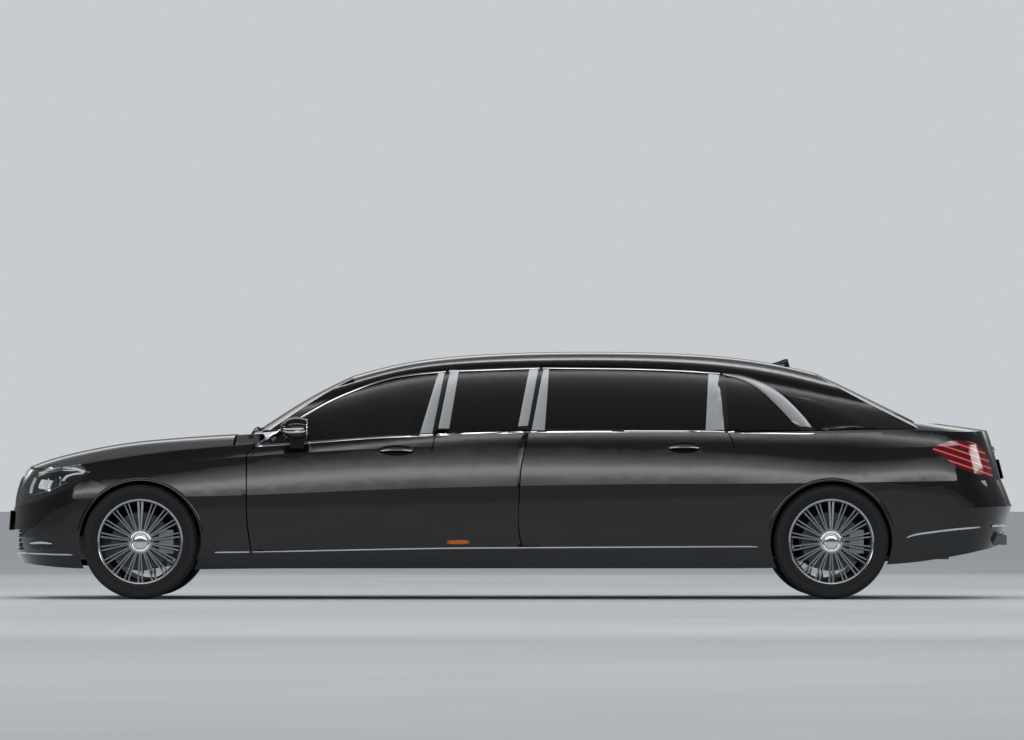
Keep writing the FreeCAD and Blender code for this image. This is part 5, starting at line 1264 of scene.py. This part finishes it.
def makeSeat(row, side, label):
    x, facing = seatSizes["rows"][row]
    y, floorZ = side * seatSizes["side"], seatSizes["floor"]
    at = lambda u, z: Vector((x + facing * u, y, floorZ + z))
    lean = math.radians(seatSizes["lean"])
    up = Vector((-facing * math.sin(lean), 0, math.cos(lean)))
    front = Vector((facing * math.cos(lean), 0, math.sin(lean)))
    flat = ((facing, 0, 0), (0, 0, 1))
    pads = []
    for part, axes, channels, grid in (("cushion", flat, seatSizes["channels"], (44, 36)),
                                       ("back", (up, front), seatSizes["channels"], (44, 36)),
                                       ("headrest", (up, front), [("x", -0.3)], (24, 24))):
        pad = seatSizes[part]
        pads.append(cushion(label + "_" + part, frameAt(at(*pad["at"]), *axes), pad["size"], channels,
                            pad["crown"], leather, grid))
    for pad in pads:
        settle(pad, "body")
    near, far, half, tall = seatSizes["plinth"]
    long, wide, behind, ahead = seatSizes["shell"]
    ends = sorted((at(near, 0).x, at(far, 0).x))
    hard = [block("plinth", (ends[0], y - half, floorZ + 0.001), (ends[1], y + half, floorZ + tall), 0.012,
                  satinBlack),
            block("shell", (-long, -wide, -behind), (long, wide, ahead), 0.009, satinBlack,
                  frameAt(at(-0.145, 0.49), up, front))]
    for post in (-seatSizes["posts"], seatSizes["posts"]):
        ends = [at(*end) + Vector((0, post, 0)) for end in seatSizes["post"]]
        hard.append(rod("post", ends, 0.006, chrome, 12))
    place = frameAt(at(0.12, 0.355), *flat)
    for arm in (-seatSizes["armSide"], seatSizes["armSide"]):
        if row != "front":
            hard.append(block("arm", (-0.17, arm - seatSizes["armHalf"], -0.018),
                              (0.16, arm + seatSizes["armHalf"], 0.018), 0.012, leatherDark, place))
    settle(merge(label + "_frame", hard), "body")
    return pads[0]


seatNames = {"front": "seats_front", "jump": "seats_rear", "rear": "seats_rear"}
for row in seatNames:
    for side, hand in ((-1, "left"), (1, "right")):
        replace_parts(makeSeat(row, side, "seat_" + row + "_" + hand), seatNames[row])
print("stage: seats")


# Door cards: padded panel, armrest, veneer with a bright seam, release and speaker
cardSizes = {"rise": 0.010, "arm": 0.065, "speaker": [(0.0002, 0.0002), (0.060, 0.0002), (0.061, -0.004),
                                                      (0.0002, -0.004)],
             "ring": [(0.062, -0.003), (0.062, 0.003), (0.066, 0.005), (0.070, 0.002), (0.070, -0.003)],
             "dot": [(0.0002, 0.0012), (0.0012, 0.0010), (0.0016, 0.0), (0.0002, 0.0)], "dotPitch": 0.004,
             "dotRings": 14}
cards = {"front": {"node": "door_front_left", "fore": [(-1.615, 0.40), (-1.60, 0.66), (-1.585, 0.92)],
                   "aft": [(-0.610, 0.40), (-0.600, 0.66), (-0.580, 0.985)], "arm": (-1.16, -0.66),
                   "speaker": (-1.42, 0.52), "top": 0.90},
         "rear": {"node": "door_rear_left", "fore": [(0.100, 0.42), (0.118, 0.70), (0.150, 1.02)],
                  "aft": [(1.340, 0.42), (1.375, 0.70), (1.345, 1.02)], "arm": (0.32, 1.00),
                  "speaker": (1.22, 0.56), "top": 0.955}}
cardDome = [(0, 0), (0.02, 0.6), (0.06, 0.9), (0.2, 1), (0.8, 1), (0.94, 0.9), (0.98, 0.6), (1, 0)]


def insideCast(sign, *names):
    # Turns a side-view place into the point of the inner face there
    tree = treeOf(*names)

    def cast(x, z):
        spot, normal = tree.ray_cast(Vector((x, 0, z)), Vector((0, sign, 0)))[:2]
        if spot is None:
            near, normal = tree.find_nearest(Vector((x, sign * 0.85, z)))[:2]
            spot = Vector((x, near.y, z))
        return spot, normal if normal.y * sign < 0 else -normal
    return cast


def makeCard(area):
    card = cards[area]
    cast = insideCast(-1, card["node"])
    shape = [(0, -0.2), (0, 0.6), (0.01, 1)] + [(0.1 * i, 1) for i in range(1, 10)]
    shape += [(0.99, 1), (1, 0.6), (1, -0.2)]
    edges = [pick(smoothPath(card[edge], 0.04), 14) for edge in ("fore", "aft")]
    parts = [band("card", cast, *edges, cardSizes["rise"], leatherDark, shape)]
    (x0, x1), top = card["arm"], card["top"]

    def bar(name, low, high, rise, finish):
        lines = [straightPath([Vector(p) for p in line], 0.05) for line in (low, high)]
        parts.append(band(name, cast, *lines, rise, finish, cardDome))
    bar("arm", [(x0, 0.665), (x1, 0.690)], [(x0, 0.740), (x1, 0.765)], cardSizes["arm"], leather)
    bar("veneer", [(x0 - 0.22, top - 0.03), (x1, top - 0.012)], [(x0 - 0.22, top + 0.012), (x1, top + 0.03)],
        0.016, wood)
    bar("seam", [(x0 - 0.22, top - 0.037), (x1, top - 0.019)], [(x0 - 0.22, top - 0.033), (x1, top - 0.015)],
        0.018, chrome)
    release = [(x0 + 0.02, top - 0.062), (x0 + 0.11, top - 0.058)]
    parts.append(strip("release", cast, release, 0.022, 0.028, chrome, 0.02, 0.5))
    spot, normal = cast(*card["speaker"])
    place = seatOn(spot + normal * cardSizes["rise"], normal)
    parts.append(lathe("ring", cardSizes["ring"], place, chrome, 48))
    dot = lathe("dot", cardSizes["dot"], Matrix.Identity(4), satinBlack, 6)
    spots = [((c, s, 0.0), unturned) for k in range(1, cardSizes["dotRings"] + 1)
             for c, s in circle(6 * k, cardSizes["dotPitch"] * k)]
    parts.append(repeatAt("dots", dot, spots, pipeMetal, 1.0, place))
    parts.append(lathe("speaker", cardSizes["speaker"], place, satinBlack, 40))
    bothSides(merge("card", parts), "door_card_" + area, twins[area])


for area in cards:
    makeCard(area)


# Dashboard face: (across from, to, height from, to, rise, finish, steps), round vents, console and its knobs
dashTrim = {
    "bands": [(-0.735, 0.735, 0.770, 0.812, 0.006, wood, 30),
              (-0.735, 0.735, 0.814, 0.819, 0.007, chrome, 30),
              (-0.63, 0.14, 0.875, 0.975, 0.012, screenGlass, 20),
              (0.22, 0.70, 0.700, 0.760, 0.003, leatherDark, 12)],
    "dome": [(0, -0.3), (0, 0.5), (0.04, 0.9), (0.2, 1), (0.8, 1), (0.96, 0.9), (1, 0.5), (1, -0.3)],
    "vents": [(-0.69, 0.845), (-0.13, 0.835), (-0.03, 0.835), (0.07, 0.835), (0.17, 0.835), (0.69, 0.845)],
    "vent": [(0.0002, 0.002), (0.010, 0.004), (0.012, 0.002), (0.024, 0.002), (0.026, 0.008), (0.031, 0.008),
             (0.033, -0.004), (0.0002, -0.004)],
    "knob": [(0.0002, 0.020), (0.016, 0.019), (0.019, 0.015), (0.020, 0.0), (0.0002, 0.0)],
    "knobs": [(-1.00, -0.04), (-0.93, 0.04)], "console": 0.660,
    "blocks": [(-1.20, -0.735, 0.112, -0.004, 0.006, 0.004, wood),
               (-0.94, -0.73, 0.095, 0.004, 0.045, 0.018, leather)]}


def makeDashboard():
    cast = rayCast(["dashboard"], (-1, 0, 0))
    parts = []
    for y0, y1, z0, z1, rise, finish, count in dashTrim["bands"]:
        edges = [[Vector((y0 + (y1 - y0) * i / count, z)) for i in range(count + 1)] for z in (z0, z1)]
        parts.append(band("face", cast, *edges, rise, finish, dashTrim["dome"]))
    for y, z in dashTrim["vents"]:
        parts.append(lathe("vent", dashTrim["vent"], seatOn(*cast(y, z)), chrome, 36))
    knob = lathe("knob", dashTrim["knob"], Matrix.Identity(4), chrome, 24)
    top = dashTrim["console"]
    parts.append(repeatAt("knobs", knob, [((x, y, top), unturned) for x, y in dashTrim["knobs"]], chrome))
    for x0, x1, half, z0, z1, radius, finish in dashTrim["blocks"]:
        parts.append(block("console", (x0, -half, top + z0), (x1, half, top + z1), radius, finish))
    settle(merge("dashboard_trim", parts), "body")


steeringPad = {"centre": (-1.1917, -0.4, 0.978), "lean": 24, "keyReach": 0.108, "keyPitch": 0.010,
               "pad": [(0.0002, 0.030), (0.040, 0.028), (0.066, 0.020), (0.076, 0.006), (0.074, -0.008),
                       (0.0002, -0.010)],
               "ring": [(0.0765, 0.004), (0.0785, 0.008), (0.081, 0.004), (0.0785, -0.001)]}


def makeWheelPad():
    # Plain padded boss with a bright ring and three keys on each spoke
    lean = math.radians(steeringPad["lean"])
    place = frameAt(steeringPad["centre"], Vector((0, 1, 0)), Vector((math.cos(lean), 0, math.sin(lean))))
    parts = [lathe("pad", steeringPad["pad"], place, leatherDark, 48),
             lathe("ring", steeringPad["ring"], place, chrome, 48)]
    for turn in (0, 180):
        for k in (-1, 0, 1):
            spot = Matrix.Translation((steeringPad["keyReach"], steeringPad["keyPitch"] * k, 0.0075))
            spoke = place @ Matrix.Rotation(math.radians(turn), 4, "Z") @ spot
            parts.append(block("key", (-0.010, -0.0038, 0), (0.010, 0.0038, 0.003), 0.001, chrome, spoke, 2))
    settle(merge("steering_pad", parts), "steering_wheel")


# Carpets as (low corner, high corner), pedals as (along, across, half width), headlining and division glass
carpets = [((x0, y0, 0.2295), (x1, y1, 0.242)) for y0, y1 in ((-0.80, -0.185), (0.185, 0.80))
           for x0, x1 in ((-1.60, -0.47), (-0.42, 1.54))]
carpets += [((-0.42, -0.176, 0.3495), (1.54, 0.176, 0.362)), ((1.70, -0.56, 0.4895), (2.98, 0.56, 0.500))]
pedals = [(-1.50, -0.50, 0.035), (-1.50, -0.33, 0.022)]
headlining = {"start": -0.74, "length": 2.34, "half": 0.50, "rise": 0.004, "lamps": (-0.62, 0.35, 1.15)}
division = {"foot": -0.438, "lean": 0.04, "leanFrom": 1.04, "low": 1.041, "high": 1.500, "half": 0.60,
            "narrow": 0.10, "thick": 0.006, "frame": 0.010}


def makeFloorTrim():
    parts = [block("carpet", low, high, 0.004, carpet) for low, high in carpets]
    for x, y, wide in pedals:
        lean = Matrix.Translation((x, y, 0.36)) @ Matrix.Rotation(math.radians(-25), 4, "Y")
        parts.append(block("pedal", (-0.004, -wide, -0.055), (0.004, wide, 0.055), 0.003, satinBlack, lean))
    settle(merge("floor_carpets", parts), "body")


def makeHeadlining():
    cast = rayCast(["roof_panel"], (0, 0, 1))
    shape = [(0, -0.2), (0, 0.8)] + [(0.05 * i, 1) for i in range(1, 20)] + [(1, 0.8), (1, -0.2)]
    xs = [headlining["start"] + headlining["length"] * i / 40 for i in range(41)]
    edges = [[Vector((x, y)) for x in xs] for y in (-headlining["half"], headlining["half"])]
    parts = [band("lining", cast, *edges, headlining["rise"], lining, shape)]
    for x in headlining["lamps"]:
        z = cast(x, 0)[0].z
        parts.append(block("lamp", (x - 0.05, -0.11, z - 0.018), (x + 0.05, 0.11, z - 0.003), 0.006,
                           ledStrip))
    settle(merge("headlining", parts), "body")


def makeDivision():
    # Glass division above the partition wall, in a slim frame
    thick, half = division["thick"], division["half"]
    loops, feet = [], []
    for z, wide in ((division["low"], half), (division["high"], half - division["narrow"])):
        x = division["foot"] + max(0, z - division["leanFrom"]) * division["lean"]
        loops.append([Vector((x, -wide, z)), Vector((x, wide, z)), Vector((x - thick, wide, z)),
                      Vector((x - thick, -wide, z))])
        feet.append((x - thick / 2, wide, z))
    glass = newPiece("division_glass", *loft(loops), tintedGlass)
    path = [(x, -y, z) for x, y, z in feet] + [(x, y, z) for x, y, z in reversed(feet)]
    rim = rod("frame", straightPath(path, 0.2), division["frame"], satinBlack, 8)
    settle(merge("division_glass", [glass, rim]), "body")


makeDashboard()
makeWheelPad()
makeFloorTrim()
makeHeadlining()
makeDivision()
print("stage: cabin")


# Engine bay: ribbed cover, filler caps and intake pipes over the plain block, with heights from its top
engineBay = {"cover": (-2.66, -2.06, 0.25), "ribs": 9, "ribStart": -0.18, "ribPitch": 0.045, "ribX": -2.36,
             "caps": [(-2.15, 0.12), (-2.56, -0.14)], "face": 0.029, "pipeRadius": 0.030,
             "cap": [(0.0002, 0.030), (0.026, 0.029), (0.031, 0.022), (0.031, 0.0), (0.0002, 0.0)],
             "pipe": [(-2.60, 0.20, 0.012), (-2.72, 0.30, -0.02), (-2.76, 0.36, -0.12), (-2.77, 0.37, -0.28)]}


def makeEngineBay():
    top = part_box("engine")[1].z
    front, back, half = engineBay["cover"]
    face = top + engineBay["face"]
    parts = [block("cover", (front, -half, top - 0.002), (back, half, top + 0.030), 0.012, satinBlack)]
    rib = block("rib", (-0.26, -0.004, 0), (0.26, 0.004, 0.006), 0.002, glossBlack, None, 2)
    spots = [((engineBay["ribX"], engineBay["ribStart"] + engineBay["ribPitch"] * i, face), unturned)
             for i in range(engineBay["ribs"])]
    parts.append(repeatAt("ribs", rib, spots, glossBlack))
    cap = lathe("cap", engineBay["cap"], Matrix.Identity(4), satinBlack, 24)
    parts.append(repeatAt("caps", cap, [((x, y, face), unturned) for x, y in engineBay["caps"]], satinBlack))
    for side in (-1, 1):
        path = [(x, side * y, top + z) for x, y, z in engineBay["pipe"]]
        parts.append(rod("pipe", path, engineBay["pipeRadius"], satinBlack, 16, 0.03))
    settle(merge("engine_cover", parts), "body")


makeEngineBay()
print("stage: engine bay")


# Studio and camera: softboxes as (place, size, watts), light cards as (across, low, high, strength)
studio = {
    "floorSize": 400.0, "floorColours": ("#c9ccd0", "#cfd2d6"), "skyColour": "#c8ccd0", "skyLight": 0.9,
    "skyMirrored": 0.2, "eye": (0.003, -50.95, 0.7), "aim": (0.003, -0.9495, 1.466), "lens": 275.1,
    "sensor": 36.0, "middle": (0, 0, 0.7),
    "softboxes": [((0.0, 0.0, 7.5), (16.0, 6.0), 300.0), ((0.0, -14.0, 4.1), (18.0, 1.1), 150.0),
                  ((0.0, 14.0, 4.1), (18.0, 1.1), 150.0), ((-12.0, 0.0, 4.0), (5.0, 1.5), 90.0),
                  ((12.0, 0.0, 4.0), (5.0, 1.5), 90.0)],
    "cards": [(-14.0, 1.9, 6.2, 6.0), (14.0, 1.9, 6.2, 1.5), (-5.5, 5.0, 10.6, 4.6), (5.5, 5.0, 10.6, 4.6)],
    "cardHalf": 11.0, "cardGlow": [(0.30, 0.25), (0.50, 1.0), (0.66, 0.35)]}


def makeLightCard(i):
    # A glowing card seen in mirrored rays alone, brightest in its middle and dark at its edges
    y, low, high, power = studio["cards"][i]
    half = studio["cardHalf"]
    finish, tree, sockets, place = startFinish("lightCard%d" % i, {})
    height = addNode(tree, "ShaderNodeSeparateXYZ", links={"Vector": place})
    share = addNode(tree, "ShaderNodeMapRange", {"From Min": low, "From Max": high},
                    {"Value": height.outputs["Z"]})
    glow = addNode(tree, "ShaderNodeValToRGB", {"stops": [(0.0, "#000000"), (1.0, "#000000")]},
                   {"Fac": share.outputs[0]})
    glow.color_ramp.interpolation = "B_SPLINE"
    for position, level in studio["cardGlow"]:
        glow.color_ramp.elements.new(position).color = (level, level, level, 1)
    strength = addNode(tree, "ShaderNodeMath", {"operation": "MULTIPLY", 1: power},
                       {0: glow.outputs["Color"]})
    addNode(tree, "ShaderNodeEmission", None, {"Strength": strength.outputs[0]},
            tree.nodes["Material Output"].inputs["Surface"])
    corners = [(-half, y, low), (half, y, low), (half, y, high), (-half, y, high)]
    card = newPiece("lightCard%d" % i, corners, [(0, 1, 2, 3)], finish)
    card.visible_camera = card.visible_diffuse = card.visible_transmission = card.visible_shadow = False


def makeFloor():
    half = studio["floorSize"] / 2
    finish, tree, sockets, place = startFinish("paleStudioFloor", {"Roughness": 0.7})
    cloud = addNode(tree, "ShaderNodeTexNoise", {"Scale": 1000 / 1500, "Detail": 3}, {"Vector": place})
    addNode(tree, "ShaderNodeValToRGB", twoTones(*studio["floorColours"]), {"Fac": cloud.outputs["Fac"]},
            sockets["Base Color"])
    corners = [(-half, -half, 0), (half, -half, 0), (half, half, 0), (-half, half, 0)]
    newPiece("studioFloor", corners, [(0, 1, 2, 3)], finish)


def makeSky():
    # Pale where it is seen straight on or through glass, dimmer as a light and darker in mirrored rays
    world = bpy.data.worlds.new("studioSky")
    bpy.context.scene.world = world
    world.use_nodes = True
    tree = world.node_tree
    sky = tree.nodes["Background"]
    sky.inputs["Color"].default_value = tone(studio["skyColour"])
    rays = addNode(tree, "ShaderNodeLightPath").outputs
    straight = addNode(tree, "ShaderNodeMath", {"operation": "MAXIMUM"},
                       {0: rays["Is Camera Ray"], 1: rays["Is Transmission Ray"]})
    direct = addNode(tree, "ShaderNodeMapRange", {"To Min": studio["skyLight"], "To Max": 1.0},
                     {"Value": straight.outputs[0]})
    dimming = studio["skyMirrored"] - studio["skyLight"]
    mirrored = addNode(tree, "ShaderNodeMath", {"operation": "MULTIPLY", 1: dimming},
                       {0: rays["Is Glossy Ray"]})
    addNode(tree, "ShaderNodeMath", {"operation": "ADD"}, {0: direct.outputs[0], 1: mirrored.outputs[0]},
            sky.inputs["Strength"])


def turnTo(holder, place, aim):
    holder.location = place
    holder.rotation_euler = (Vector(aim) - Vector(place)).to_track_quat("-Z", "Y").to_euler()


def makeStudio():
    scene = bpy.context.scene
    scene.view_settings.view_transform = "Standard"
    makeFloor()
    makeSky()
    for i, (place, size, power) in enumerate(studio["softboxes"]):
        lamp = bpy.data.lights.new("softbox%d" % i, "AREA")
        lamp.shape = "RECTANGLE"
        lamp.size, lamp.size_y = size
        lamp.energy = power
        holder = addObject("softbox%d" % i, lamp)
        holder.visible_glossy = i > 2  # the first three stay out of mirrored rays, where the cards show
        turnTo(holder, place, studio["middle"])
    for i in range(len(studio["cards"])):
        makeLightCard(i)
    lens = bpy.data.cameras.new("camera")
    lens.lens, lens.sensor_width = studio["lens"], studio["sensor"]
    lens.clip_start, lens.clip_end = 1.0, 600.0
    scene.camera = addObject("camera", lens)
    turnTo(scene.camera, studio["eye"], studio["aim"])


makeStudio()
print("stage: studio")
